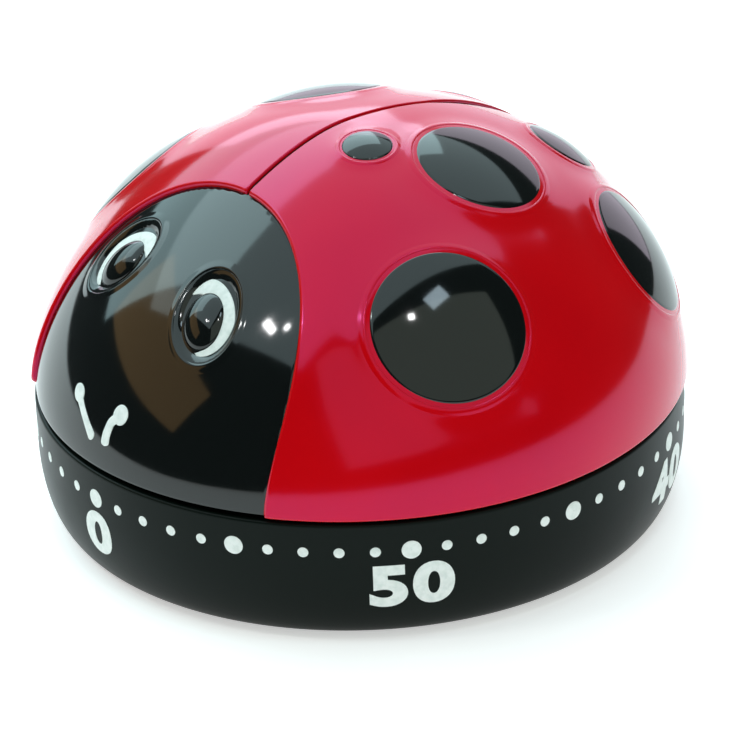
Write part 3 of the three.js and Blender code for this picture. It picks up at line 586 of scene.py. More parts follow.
def wing_outline():
    """Along the face from the slit to the rim, round the rim to the back, and along the slit to the face."""
    turn = np.linspace(0, math.pi, 4000)
    x = FACE_HALF_WIDTH * np.sin(turn)
    y = -FACE_BACK - FACE_LENGTH + FACE_LENGTH * np.cos(turn)
    keep = (np.hypot(x, y) < DOME_RADIUS) & (x > groove_half(y)) & (turn < math.pi * 0.62)
    angle = np.arctan2(x[keep], -y[keep])
    face = from_plan(angle, np.hypot(x[keep], y[keep]))
    back = math.pi - math.asin(groove_half(DOME_RADIUS) / DOME_RADIUS)
    rim_angle = np.linspace(angle[-1], back, 2000)
    rim = dome_points(rim_angle, np.ones_like(rim_angle))
    y = np.linspace(-DOME_RADIUS * math.cos(back), -FACE_BACK, 3000)
    half = groove_half(y)
    slit = from_plan(np.arctan2(half, -y), np.minimum(np.hypot(half, y), DOME_RADIUS))
    return np.concatenate([even(part, WING_STEP) for part in (face, rim, slit)])


OUTLINE = wing_outline()
print("points of the wing's outline", len(OUTLINE))


# %% The wings
def wing_points(side):
    """Rays from the wing's centre to its outline, raised by the spots' swell and lowered at the three
    edges."""
    flat = flat_map(OUTLINE)
    crowded = np.linspace(1, RAY_END, RAY_ROWS) ** RAY_EASE
    shares = 1 - np.concatenate([crowded, np.linspace(0.02, 0, 12)])
    shares[0] = NEAR_CENTRE
    surface = from_map(WING_CENTRE + shares[:, None, None] * (flat - WING_CENTRE))
    surface[-1] = OUTLINE
    normal = dome_normals(surface)
    mirror = np.array([side, 1, 1])
    height = spot_swell(surface * mirror)
    slit_away = surface[..., 0] - groove_half(surface[..., 1])
    rim_away = surface[..., 2] - SEAM
    edges = ((slit_away, SLIT_EDGE), (face_distance(surface), WING_EDGE), (rim_away, WING_EDGE))
    for away, radius in edges:
        height = height - edge_drop(np.maximum(away, 0), radius)
    top = surface + normal * height[..., None]
    wall = surface[-1] - normal[-1] * np.linspace(WING_EDGE, WING_THICKNESS, 4)[1:, None, None]
    under_shares = np.array([0.99, 0.9, 0.7, 0.4, NEAR_CENTRE])[:, None, None]
    under = from_map(WING_CENTRE + under_shares * (flat - WING_CENTRE))
    under = under - dome_normals(under) * WING_THICKNESS
    made = np.concatenate([top, wall, under])
    made[..., 2] = np.maximum(made[..., 2], SEAM)
    return made * mirror


for wing, side in (("left", 1), ("right", -1)):
    points, solid = wing_points(side), f"{wing}_wing"
    cover = grid_piece(f"{solid}_cover", points, "cap", RED, stands_for=[solid], slot="wing")
    print(cover.name, "grid", points.shape, "faces", len(cover.data.polygons))

# %% [markdown]
# ## Spots and their lips
#
# Each spot is a shallow black dome in a round opening, and the red plastic forms a thin rounded lip at
# its edge. An opening cut in the wing's own grid would be jagged. Both are polar grids instead: rings
# round the spot's centre, dropped onto the dome along the spot's own axis, then raised by a profile of
# the distance from the spot's edge. The lip fades into the wing within 2 mm.

# %% Lips and caps
def polar_points(centre, normal, radii, columns=224):
    """Rings of the given radii round a centre, dropped onto the dome along the centre's normal."""
    side = np.cross([0.0, 0.0, 1.0], normal)
    side = side / max(np.linalg.norm(side), 1e-9)
    upward = np.cross(normal, side)
    turn = np.linspace(0, 2 * math.pi, columns, endpoint=False)
    ring = np.cos(turn)[:, None] * side + np.sin(turn)[:, None] * upward
    flat = centre + np.asarray(radii)[:, None, None] * ring
    return drop_to_dome(flat, np.broadcast_to(normal, flat.shape))


LIP_CREST, LIP_RISE, LIP_ROUND, LIP_REACH = 0.42 * MM, 0.07 * MM, 0.36 * MM, 1.5 * MM
LIP_BELL, LIP_SINK = 0.55 * MM, 0.03 * MM
LIP_DEPTHS = np.array([0.6, 0.5, 0.35]) * MM
CAP_OVER, CAP_EDGE, CAP_RISE, CAP_SHOULDER = 0.12 * MM, 0.65 * MM, 0.55 * MM, 0.16 * MM
CAP_DEPTH = 0.9 * MM


def lip_height(away, size):
    """Outside the crest a bell, exp(-(distance / width)^2), that ends just under the wing; inside it a
    quarter round into the opening."""
    share = np.exp(-(((away - LIP_CREST) / (LIP_BELL * size)) ** 2))
    bell = (LIP_RISE + LIP_SINK) * share - LIP_SINK
    inward = np.clip(LIP_CREST - away, 0, LIP_ROUND)
    round_off = LIP_ROUND - np.sqrt(LIP_ROUND**2 - inward**2)
    return np.where(away > LIP_CREST, bell, LIP_RISE - round_off)


def make_lip(name, centre, normal, radius):
    """Rings from the far side of the lip over its crest and down into the opening, then back underneath."""
    size = spot_size(radius)
    outer = np.linspace(LIP_REACH * size, LIP_CREST, 16)
    inner = LIP_CREST - LIP_ROUND * np.sin(np.linspace(0, math.pi / 2, 10)[1:])
    away = np.concatenate([outer, inner])
    rings = polar_points(centre, normal, radius + away)
    normals = dome_normals(rings)
    height = spot_swell(rings) + lip_height(away, size)[:, None]
    top = rings + normals * height[..., None]
    under = [-1, 8, 0]
    bottom = rings[under] - normals[under] * LIP_DEPTHS[:, None, None]
    points = np.concatenate([top, bottom, top[:1]])
    points[..., 2] = np.maximum(points[..., 2], SEAM)
    return grid_piece(name, points, "cap", RED, slot="wing")


def make_cap(name, centre, normal, radius):
    """Crowned cap: shoulder + rise (1 - share^2), less a quarter round at its edge, closed underneath."""
    size = spot_size(radius)
    edge = radius + CAP_OVER
    shares = np.sin(np.linspace(0.004, math.pi / 2, 44))
    rings = polar_points(centre, normal, edge * shares)
    normals = dome_normals(rings)
    crown = (CAP_SHOULDER + CAP_RISE * size * (1 - shares**2))[:, None] + SWELL_RISE * 0.5 * size
    height = crown - edge_drop(edge * (1 - shares), CAP_EDGE * size)[:, None]
    top = rings + normals * height[..., None]
    under = [-1, 4, 0]
    bottom = rings[under] - normals[under] * CAP_DEPTH
    return grid_piece(name, np.concatenate([top, bottom]), "cap", BLACK, slot="shell")


for label, centre, normal, radius in FRAMES:
    make_lip(f"spot_lip_{label}", centre, normal, radius)
    make_cap(f"spot_{label}", centre, normal, radius)
print("spots", len(FRAMES))

# %% [markdown]
# ## The body and its face
#
# Under the wings lies one black moulding. It shows as the face, as the bottom of the slit between the
# wings, and as the wedge where the slit opens at the back. These could be separate pieces, but then
# their seams would show in the gloss. Instead a grid over the whole dome is lowered to clear the wings,
# stands higher again in the slit, and sinks in the two eye sockets.

# %% Eye sockets
EYE_AT, FAR_EYE_TURN = (6.85 * MM, -26.58 * MM), math.radians(-11)
SOCKET_HALF, SOCKET_LEAN = (4.6 * MM, 6.1 * MM), math.radians(21.6)
SOCKET_DEPTH, SOCKET_SLOPE, SOCKET_RIM = 0.5 * MM, 0.9 * MM, 0.06 * MM
PUPIL_OFFSET, PUPIL_SHARE, PUPIL_RISE = (-0.4 * MM, -0.7 * MM), 0.58, 0.95 * MM
SOCKET_RIM_WIDTH = 0.4 * MM
MEAN_HALF = math.sqrt(SOCKET_HALF[0] * SOCKET_HALF[1])


def eye_frame(mirrored):
    """Centre, side, up and normal of an eye. The right eye is mirrored and turned a little further round."""
    angle = math.atan2(EYE_AT[0], -EYE_AT[1])
    angle = FAR_EYE_TURN - angle if mirrored else angle
    centre = from_plan(np.array(angle), np.array(math.hypot(*EYE_AT)))
    normal = dome_normals(centre[None])[0]
    side = np.cross([0.0, 0.0, 1.0], normal)
    side = side / np.linalg.norm(side)
    upward = np.cross(normal, side)
    return centre, -side if mirrored else side, upward, normal


EYES = {"left": eye_frame(False), "right": eye_frame(True)}


def eye_axes(frame_of_eye):
    """The short and the long axis of the socket's ellipse, which leans inwards at the top."""
    _, side, upward, _ = frame_of_eye
    short = side * math.cos(SOCKET_LEAN) + upward * math.sin(SOCKET_LEAN)
    long = upward * math.cos(SOCKET_LEAN) - side * math.sin(SOCKET_LEAN)
    return short * SOCKET_HALF[0], long * SOCKET_HALF[1]


def eye_away(points, frame_of_eye):
    """Distance outside the socket's edge: (share of the ellipse - 1) * mean half axis."""
    centre, _, _, normal = frame_of_eye
    short, long = eye_axes(frame_of_eye)
    away = points - centre
    share = np.hypot(away @ short / (short @ short), away @ long / (long @ long))
    return np.where(away @ normal < -FAR_SIDE, FAR_AWAY, (share - 1) * MEAN_HALF)


def face_height(points):
    """The face lies under the wings' level, and lower in a socket, with a fine rim round it."""
    height = np.full(points.shape[:-1], -WING_PROUD)
    for frame_of_eye in EYES.values():
        away = eye_away(points, frame_of_eye)
        height = height - SOCKET_DEPTH * smooth_step(-away / SOCKET_SLOPE)
        height = height + SOCKET_RIM * np.exp(-((away / SOCKET_RIM_WIDTH) ** 2))
    return height


print("eyes at, mm:", [tuple((centre / MM).round(1)) for centre, *_ in EYES.values()])


# %% Body shell
SHELL_WALL = 1.8 * MM
SLIT_DEPTH = 0.32 * MM
BODY_EDGE = 0.35 * MM
LIP_OUTER, LIP_INNER, LIP_BOTTOM = 36.2 * MM, 34.7 * MM, 14.5 * MM


def circle_rows(pairs, angle):
    """Level circles of the given (radius, height) pairs."""
    pairs = np.asarray(pairs)
    x = pairs[:, :1] * np.sin(angle)
    y = -pairs[:, :1] * np.cos(angle)
    return np.stack([x, y, np.repeat(pairs[:, 1:], len(angle), axis=1)], axis=-1)


def body_points(columns=600, rows=112):
    """The face's height, moved by smooth steps to the lower height under a wing or the higher one in the
    slit; then down the rim, round the lip and back inside."""
    angle = np.linspace(0, 2 * math.pi, columns, endpoint=False)
    spread = np.linspace(0.0005, 1, rows)[:, None]
    surface = dome_points(np.broadcast_to(angle, (rows, columns)), np.broadcast_to(spread, (rows, columns)))
    normal = dome_normals(surface)
    height = np.full(surface.shape[:-1], -WING_PROUD)
    for frame_of_eye in EYES.values():
        away = eye_away(surface, frame_of_eye)
        height = height - 2 * SOCKET_DEPTH * smooth_step(-(away + 0.3 * MM) / (2 * SOCKET_SLOPE))
    slit_away = np.abs(surface[..., 0]) - groove_half(surface[..., 1])
    under_wings = smooth_step((slit_away - 0.12 * MM) / (1.0 * MM))
    level = -SLIT_DEPTH - (SHELL_UNDER - SLIT_DEPTH) * under_wings
    beyond_face = smooth_step((face_distance(surface) - 0.1 * MM) / (0.7 * MM))
    height = height + (level + WING_PROUD) * beyond_face
    height = height - edge_drop(surface[..., 2] - SEAM, BODY_EDGE)
    outside = surface + normal * height[..., None]
    outside[..., 2] = np.maximum(outside[..., 2], SEAM)
    lip = circle_rows([(LIP_OUTER, SEAM), (LIP_OUTER, LIP_BOTTOM), (LIP_INNER, LIP_BOTTOM)], angle)
    inside = surface[::-8] - normal[::-8] * (SHELL_UNDER + SHELL_WALL)
    inside[..., 2] = np.maximum(inside[..., 2], SEAM)
    return np.concatenate([outside, lip, inside])


body = grid_piece("body_shell", body_points(), "cap", BLACK, stands_for=["dome_shell"], slot="shell")
print("body faces", len(body.data.polygons))

# %% [markdown]
# ## Eyes and feelers
#
# A socket needs a finer grid than the rest of the face, so it is a polar piece of its own that lies over
# the shallower dip of the body. The pupil is a small black dome. The white of the eye and the two
# feelers are ink. They could be painted in the material, but as a thin solid they keep a sharp edge at
# any distance: a stroke with a changing width, carried along a path on the face and as thin as a print.

# %% Sockets and pupils
SKIN, SKIN_SINK = 0.05 * MM, 0.02 * MM
SOCKET_BACK, PUPIL_BACK, PUPIL_POWER = 1.9 * MM, 1.7 * MM, 0.6


def eye_rings(frame_of_eye, shares, offset=(0, 0), columns=192):
    """Ellipses of the given shares of the socket, moved by an offset across and up, on the dome."""
    centre, side, upward, normal = frame_of_eye
    short, long = eye_axes(frame_of_eye)
    turn = np.linspace(0, 2 * math.pi, columns, endpoint=False)
    ring = np.cos(turn)[:, None] * short + np.sin(turn)[:, None] * long
    flat = centre + offset[0] * side + offset[1] * upward + shares[:, None, None] * ring
    return drop_to_dome(flat, np.broadcast_to(normal, flat.shape))


def make_socket(name, frame_of_eye):
    """Rings from just outside the rim to the middle, at the face height plus a skin that fades at the
    edge."""
    shares = np.concatenate([np.linspace(1.24, 0.76, 40), np.linspace(0.7, 0.002, 8)])
    rings = eye_rings(frame_of_eye, shares)
    skin = SKIN * smooth_step((1.22 - shares) / 0.16) - SKIN_SINK
    normals = dome_normals(rings)
    top = rings + normals * (face_height(rings) + skin[:, None])[..., None]
    under = [-1, 34, 0]
    bottom = rings[under] - normals[under] * SOCKET_BACK
    return grid_piece(name, np.concatenate([top, bottom, top[:1]]), "cap", BLACK, slot="shell")


def make_pupil(name, frame_of_eye):
    """A dome of rise * (1 - share^2)^power standing on the socket's floor."""
    shares = np.sin(np.linspace(0.004, math.pi / 2, 40))
    rings = eye_rings(frame_of_eye, shares * PUPIL_SHARE, PUPIL_OFFSET)
    normals = dome_normals(rings)
    height = face_height(rings) + PUPIL_RISE * (np.maximum(1 - shares**2, 0) ** PUPIL_POWER)[:, None]
    top = rings + normals * height[..., None]
    under = [-1, 4, 0]
    bottom = rings[under] - normals[under] * PUPIL_BACK
    return grid_piece(name, np.concatenate([top, bottom]), "cap", BLACK, slot="shell")


for side, frame_of_eye in EYES.items():
    make_socket(f"eye_socket_{side}", frame_of_eye)
    make_pupil(f"pupil_{side}", frame_of_eye)
print("sockets and pupils", len(EYES))

# %% Ink strokes on the face
INK_LIFT, INK_FLATNESS = 0.07 * MM, 0.35
LEAST_WIDTH = 0.02  # share of a stroke's width that is left at its very end


def smooth_path(points, count):
    """A path through the points: their values interpolated over length, then averaged with their
    neighbours."""
    points = np.asarray(points, dtype=float)
    reach = np.concatenate([[0], np.cumsum(np.linalg.norm(np.diff(points[:, :3], axis=0), axis=1))])
    wanted = np.linspace(0, reach[-1], count)
    path = np.stack([np.interp(wanted, reach, points[:, k]) for k in range(points.shape[1])], axis=1)
    for _ in range(count // 3):
        path[1:-1] = 0.5 * path[1:-1] + 0.25 * (path[:-2] + path[2:])
    return path


def on_dome(points):
    """The points of the dome nearest to points close to it, and the normals there."""
    here = drop_to_dome(points, dome_normals(points))
    return here, dome_normals(here)


def ink_stroke(name, path, around=20):
    """A flat tube along a path of (x, y, z, half width): across = width * cos(turn), and up = lift *
    sin(turn)^flatness, with the sign kept."""
    centre, normal = on_dome(path[:, :3])
    along = np.gradient(centre, axis=0)
    across = np.cross(normal, along)
    across = across / np.linalg.norm(across, axis=1, keepdims=True)
    turn = np.linspace(0, 2 * math.pi, around, endpoint=False)
    wide = path[:, 3, None] * np.cos(turn)
    flat = centre[:, None] + across[:, None] * wide[..., None]
    flat = drop_to_dome(flat, np.broadcast_to(normal[:, None], flat.shape))
    edge = np.sign(np.sin(turn)) * np.abs(np.sin(turn)) ** INK_FLATNESS
    height = face_height(flat) + SKIN - SKIN_SINK + INK_LIFT * edge
    points = flat + dome_normals(flat) * height[..., None]
    return grid_piece(name, points, "cap", INK, slot="shell")


def round_ends(path, share):
    """Widths pulled in at both ends as a half circle: width * sqrt(1 - (1 - distance / share)^2)."""
    reach = np.linspace(0, 1, len(path))
    near = np.clip(np.minimum(reach, 1 - reach) / share, 0, 1)
    path[:, 3] *= np.sqrt(np.maximum(1 - (1 - near) ** 2, LEAST_WIDTH**2))
    return path


# Outer and inner edge of the white of an eye, across and up from the socket's middle, in mm.
WHITE_OUTER = [(-4.5, 2.0), (-4.4, 3.2), (-3.2, 4.3), (-1.4, 4.4), (0.5, 3.7), (2.0, 2.7), (3.3, 1.2)]
WHITE_OUTER += [(4.1, -0.5), (4.3, -2.2), (3.9, -3.8), (2.9, -4.8), (1.7, -5.0), (0.6, -4.6)]
WHITE_INNER = [(-3.7, 1.6), (-3.2, 2.1), (-2.1, 2.4), (-0.9, 2.2), (0.4, 1.7), (1.4, 0.8), (2.1, -0.2)]
WHITE_INNER += [(2.5, -1.3), (2.5, -2.4), (2.1, -3.3), (1.5, -3.9), (0.8, -4.2), (0.5, -4.4)]


def eye_white(frame_of_eye):
    """The line halfway between the two edges with half their distance, moved from the eye's plane into
    space."""
    outer, inner = np.array(WHITE_OUTER) * MM, np.array(WHITE_INNER) * MM
    middle = (outer + inner) / 2
    half = np.linalg.norm(outer - inner, axis=1) / 2
    centre, side, upward, _ = frame_of_eye
    place = centre + middle[:, :1] * side + middle[:, 1:] * upward
    return np.column_stack([place, half])


for side, frame_of_eye in EYES.items():
    ink_stroke(f"eye_white_{side}", round_ends(smooth_path(eye_white(frame_of_eye), 72), 0.06))

# Feelers: the knob's two ends and the stem down to its foot, as place and half width in mm.
FEELERS = {
    "feeler_left": [
        (2.2, -36.0, 22.6, 0.6), (1.2, -36.6, 21.7, 0.6),
        (1.0, -37.2, 20.1, 0.66), (1.2, -37.7, 19.0, 0.68),
    ],
    "feeler_right": [
        (-6.2, -35.7, 22.4, 0.6), (-4.6, -36.45, 21.3, 0.46),
        (-2.8, -37.1, 20.1, 0.5), (-1.1, -37.7, 19.0, 0.66),
    ],
    "feeler_knob_left": [(3.2, -35.5, 23.4, 1.2), (1.4, -36.3, 22.1, 1.2)],
    "feeler_knob_right": [(-7.0, -35.2, 23.0, 0.95), (-5.2, -36.2, 21.8, 0.95)],
}
for name, points in FEELERS.items():
    end_share = 0.5 if "knob" in name else 0.1
    ink_stroke(name, round_ends(smooth_path(np.array(points) * MM, 48), end_share))
print("ink strokes done")

# %% [markdown]
# ## The dial ring
#
# The ring is a turned shape: its side curves in towards the table, so the timer looks as if it floats. A
# Screw modifier would turn it too, but the scale needs the side as a formula, so arrays do it here. Its
# profile is a quarter of an ellipse, a straight band for the scale, and a rim. Carried round in fine
# steps, the curve shows no flats. The scale is ink: sixty dots, and a number every ten minutes.

# %% Ring
RING_TAPER, RING_CORNER, RING_WALL, RIM_INNER = 3.1 * MM, 9 * MM, 1.1 * MM, 36.6 * MM
FLANGE_TOP, FLANGE_UNDER, FLANGE_INNER = 13.6 * MM, 11.8 * MM, 33.0 * MM


def ring_radius(height):
    """R - taper (1 - sin t) with cos t = 1 - (height - bottom) / corner height, and R above the corner."""
    cosine = np.clip(1 - (height - RING_BOTTOM) / RING_CORNER, 0, 1)
    return RING_RADIUS - RING_TAPER * (1 - np.sqrt(1 - cosine**2))


heights = RING_BOTTOM + RING_CORNER * (1 - np.cos(np.linspace(0.12, math.pi / 2, 40)))
side = np.column_stack([ring_radius(heights), heights])
foot = [(ring_radius(RING_BOTTOM) - RING_WALL, RING_BOTTOM), (ring_radius(RING_BOTTOM), RING_BOTTOM)]
rim_corners = [
    (RING_RADIUS, heights[-1], 0),
    (RING_RADIUS, RING_TOP, 0.45 * MM),
    (RIM_INNER, RING_TOP, 0.3 * MM),
]
rim_corners += [(RIM_INNER, FLANGE_TOP, 0.1 * MM), (FLANGE_INNER, FLANGE_TOP, 0.2 * MM)]
rim_corners += [(FLANGE_INNER, FLANGE_UNDER, 0.1 * MM), (RING_RADIUS - RING_WALL, FLANGE_UNDER, 0)]
back = side[::-4] - np.array([RING_WALL, 0])
ring_profile = np.concatenate([foot, side, rounded(rim_corners, 6), back, foot[:1]])
ring_points = turned_points(ring_profile, 288)
ring = grid_piece("ring_skin", ring_points, "base", SATIN, stands_for=["dial_ring"], slot="ring")
print("ring profile", len(ring_profile), "faces", len(ring.data.polygons))

# %% Dots
DOT_HEIGHT, BIG_DOT, SMALL_DOT, PRINT_LIFT = 12.0 * MM, 1.13 * MM, 0.62 * MM, 0.05 * MM


def on_ring(across, height, lift):
    """The point of the ring's side so far round it from the front, at a height, lifted off the surface."""
    radius = ring_radius(height) + lift
    angle = across / RING_RADIUS
    return np.stack([radius * np.sin(angle), -radius * np.cos(angle), height], axis=-1)


def dot_grids():
    """Flat cushions: share of the radius against lift, the same rings for all sixty dots."""
    shares = np.array([0.02, 0.5, 0.85, 0.97, 1.0, 0.9, 0.02])
    lifts = np.array([1.0, 1.0, 0.9, 0.5, -0.4, -1.0, -1.0]) * PRINT_LIFT
    turn = np.linspace(0, 2 * math.pi, 28, endpoint=False)
    minute = np.arange(60)
    radius = np.where(minute % 5 == 0, BIG_DOT, SMALL_DOT)[:, None, None]
    middle = (-2 * math.pi * RING_RADIUS / 60 * minute)[:, None, None]
    across = middle + radius * shares[None, :, None] * np.cos(turn)
    height = DOT_HEIGHT + radius * shares[None, :, None] * np.sin(turn)
    return on_ring(across, height, np.broadcast_to(lifts[None, :, None], across.shape))


dots = dot_grids()
count, rows, columns = dots.shape[:3]
faces = grid_faces(rows, columns)
starts = np.arange(count)[:, None, None] * rows * columns
mesh_piece("minute_dots", dots, (faces[None] + starts).reshape(-1, 4), "base", INK, slot="ring")
print("dots", count)

# %% [markdown]
# ## Numbers
#
# The built-in typeface is thin and narrow, so each number is emboldened with the curve's offset and
# stretched sideways. A Shrinkwrap modifier could lay it on the ring, but would let thin parts sink in.
# So it is made a mesh, cut into narrow strips, and each point is moved from the flat sheet onto the
# ring's curved side: across becomes an angle, up becomes a height.

# %% Numbers on the ring
NUMBER_LOW, NUMBER_HIGH, NUMBER_STRETCH = 4.85 * MM, 10.3 * MM, 1.3
NUMBER_WEIGHT, NUMBER_SPACING, NUMBER_SLAB = 0.045, 1.12, 0.02  # in shares of the type size
STRIP_WIDTH, STRIP_HEIGHT = 0.4 * MM, 0.6 * MM


def mesh_points(mesh):
    """The mesh's points as an array, read in one go."""
    points = np.zeros(len(mesh.vertices) * 3)
    mesh.vertices.foreach_get("co", points)
    return points.reshape(-1, 3)


def flat_number(text):
    """The number as a thin slab, its middle at zero and its height exactly the scale's."""
    curve = bpy.data.curves.new("number", "FONT")
    curve.body = text
    curve.size = 1.0
    curve.offset = NUMBER_WEIGHT
    curve.space_character = NUMBER_SPACING
    curve.extrude = NUMBER_SLAB
    curve.resolution_u = 8
    holder = bpy.data.objects.new("number", curve)
    bpy.context.scene.collection.objects.link(holder)
    bpy.context.view_layer.update()
    mesh = bpy.data.meshes.new_from_object(holder.evaluated_get(bpy.context.evaluated_depsgraph_get()))
    bpy.data.objects.remove(holder)
    bpy.data.curves.remove(curve)
    flat = mesh_points(mesh)
    scale = (NUMBER_HIGH - NUMBER_LOW) / np.ptp(flat[:, 1])
    flat[:, 0] = (flat[:, 0] - (flat[:, 0].min() + flat[:, 0].max()) / 2) * scale * NUMBER_STRETCH
    flat[:, 1] = (flat[:, 1] - flat[:, 1].min()) * scale
    flat[:, 2] = np.sign(flat[:, 2]) * PRINT_LIFT
    mesh.vertices.foreach_set("co", flat.ravel())
    return mesh


def make_number(minute):
    """Cuts the slab into strips upright and level, then bends it: angle = across / ring radius."""
    mesh = flat_number(str(minute))
    reach = np.abs(mesh_points(mesh)[:, 0]).max()
    upright = np.arange(-reach, reach, STRIP_WIDTH)
    level = np.arange(STRIP_HEIGHT / 2, NUMBER_HIGH - NUMBER_LOW, STRIP_HEIGHT)
    work = bmesh.new()
    work.from_mesh(mesh)
    for facing, stops in ((Vector((1, 0, 0)), upright), (Vector((0, 1, 0)), level)):
        for stop in stops[1:]:
            parts = work.verts[:] + work.edges[:] + work.faces[:]
            bmesh.ops.bisect_plane(work, geom=parts, plane_co=stop * facing, plane_no=facing)
    bmesh.ops.remove_doubles(work, verts=work.verts, dist=MERGE)
    work.to_mesh(mesh)
    work.free()
    flat = mesh_points(mesh)
    middle = -2 * math.pi * RING_RADIUS * minute / 60
    bent = on_ring(middle + flat[:, 0], NUMBER_LOW + flat[:, 1], flat[:, 2])
    mesh.vertices.foreach_set("co", bent.astype(np.float32).ravel())
    mesh.update()
    number = bpy.data.objects.new(f"number_{minute}", mesh)
    bpy.context.scene.collection.objects.link(number)
    mesh.materials.append(INK)
    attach(number, "base")
    return np.ptp(flat[:, 0]) / MM


print("number widths, mm:", [round(make_number(minute), 1) for minute in range(0, 60, 10)])

# %% [markdown]
# ## The underside
#
# The base plate of the frame is already right: a flat moulding with six sound slots. Its three feet and
# three screws get rounder pieces. A foot is a turned rubber button with a shallow dish, which grips the
# table by its edge. A Boolean could cut the slot of a screw, but its corners would shade badly. So the
# head is a grid of chords across a disc, and its slot runs straight through the rows.

# %% Feet
FOOT_DISH, FOOT_EDGE = 0.3 * MM, 0.35 * MM
DISH_INSET, PAD_INSET = 1.1 * MM, 0.7 * MM


def make_foot(number):
    """A turned profile: dished underneath, a rounded edge, a short wall, a flat top in the base plate."""
    low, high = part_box(f"foot_{number}")
    radius = (high.x - low.x) / 2
    corners = [
        (0, low.z + FOOT_DISH, 0),
        (radius - DISH_INSET, low.z + FOOT_DISH, FOOT_EDGE),
        (radius - PAD_INSET, low.z, FOOT_EDGE),
        (radius, low.z, FOOT_EDGE),
        (radius, high.z, 0),
        (0, high.z, 0),
    ]
    points = turned_points(rounded(corners, 7), 72)
    points += np.array([(low.x + high.x) / 2, (low.y + high.y) / 2, 0])
    grid_piece(f"rubber_foot_{number}", points, "base", RUBBER, stands_for=[f"foot_{number}"], slot="rubber")


# %% Screw heads
SCREW_SLOT_HALF, SCREW_SLOT_DEPTH, SCREW_EDGE = 0.28 * MM, 0.5 * MM, 0.35 * MM
SCREW_HEAD_HEIGHT, SHANK_RADIUS, SCREW_SKIN = 1.1 * MM, 1.1 * MM, 0.03 * MM
SLOT_WALL = 0.004  # share of the radius between the rows at the top and the foot of the slot's wall


def make_screw_head(number, turned):
    """Chords at each b across a disc, x = a * sqrt(1 - b^2), rounded at the edge and cut by the slot."""
    low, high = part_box(f"base_screw_{number}")
    middle = np.array([(low.x + high.x) / 2, (low.y + high.y) / 2, 0])
    radius = (high.x - low.x) / 2 + SCREW_SKIN
    slot = SCREW_SLOT_HALF / radius
    half = np.concatenate([np.sin(np.linspace(-math.pi / 2, -0.35, 16)), [-slot - SLOT_WALL, -slot]])
    b = np.concatenate([half, [0.0], -half[::-1]])[:, None]
    across = np.sin(np.linspace(-math.pi / 2, math.pi / 2, 33))
    a = np.concatenate([across, across[::-1][1:-1]])[None, :]
    x, y = radius * a * np.sqrt(np.maximum(1 - b**2, 0)), radius * b + 0 * a
    share = np.hypot(x, y) / radius
    face = low.z - SCREW_SKIN + edge_drop(radius * (1 - np.minimum(share, 1)), SCREW_EDGE)
    face = face + SCREW_SLOT_DEPTH * (np.abs(b) <= slot + SLOT_WALL / 4)
    back = np.full_like(x, low.z + SCREW_HEAD_HEIGHT)
    z = np.where(np.arange(a.size)[None, :] < across.size, face, back)
    turn = math.radians(turned)
    turned_x = x * math.cos(turn) - y * math.sin(turn)
    turned_y = x * math.sin(turn) + y * math.cos(turn)
    flat = np.stack([turned_x, turned_y, z], axis=-1)
    steel = METALS["steel"]
    stood_for = [f"base_screw_{number}"]
    grid_piece(f"screw_head_{number}", flat + middle, "base", steel, stands_for=stood_for, slot="steel")
    neck, tip = low.z + SCREW_HEAD_HEIGHT - SCREW_EDGE, high.z
    corners = [(0, neck, 0), (SHANK_RADIUS, neck, 0), (SHANK_RADIUS, tip, SCREW_EDGE), (0, tip, 0)]
    shank = turned_points(rounded(corners, 4), 32) + middle
    grid_piece(f"screw_shank_{number}", shank, "base", steel, slot="steel")


SCREW_TURNS = {1: 20, 2: 75, 3: 130}
for number, turned in SCREW_TURNS.items():
    make_foot(number)
    make_screw_head(number, turned)
print("feet and screws", len(SCREW_TURNS))

# %% [markdown]
# ## The camera
#
# A small thing keeps its true proportions when it is seen from some distance through a long lens. The
# camera stands on a sphere round the timer: an angle round from the head, an angle up, and a distance.
# It aims at the timer's middle and is then panned, tilted and rolled by small angles. Depth of field
# stays off.

# %% Camera
VIEW_AZIMUTH, VIEW_ELEVATION = math.radians(52.43), math.radians(26.86)
VIEW_ROLL, VIEW_PAN, VIEW_TILT = math.radians(2.094), math.radians(0.0923), math.radians(0.4196)
VIEW_DISTANCE = 470.3 * MM
AIM = Vector((0, 0, 12 * MM))
# Both in the millimetres that a camera's own settings use.
FOCAL_LENGTH, SENSOR_WIDTH = 196.66, 36


def make_camera():
    """Stands on a sphere round the aim point, looks at it, and is then panned, tilted and rolled."""
    back = Vector((
        math.sin(VIEW_AZIMUTH) * math.cos(VIEW_ELEVATION),
        -math.cos(VIEW_AZIMUTH) * math.cos(VIEW_ELEVATION),
        math.sin(VIEW_ELEVATION),
    ))
    right = Vector((0, 0, 1)).cross(back).normalized()
    up = back.cross(right)
    look = Matrix((right, up, back)).transposed()
    pan, tilt = Matrix.Rotation(-VIEW_PAN, 3, "Y"), Matrix.Rotation(VIEW_TILT, 3, "X")
    turn = pan @ tilt @ Matrix.Rotation(-VIEW_ROLL, 3, "Z")
    lens = bpy.data.cameras.new("camera")
    lens.lens = FOCAL_LENGTH
    lens.sensor_width = SENSOR_WIDTH
    lens.clip_start, lens.clip_end = 0.01, 20
    camera = bpy.data.objects.new("camera", lens)
    camera.matrix_world = Matrix.Translation(AIM + back * VIEW_DISTANCE) @ (look @ turn).to_4x4()
    bpy.context.scene.collection.objects.link(camera)
    bpy.context.scene.camera = camera
    return camera


print("camera at, m:", make_camera().matrix_world.translation)

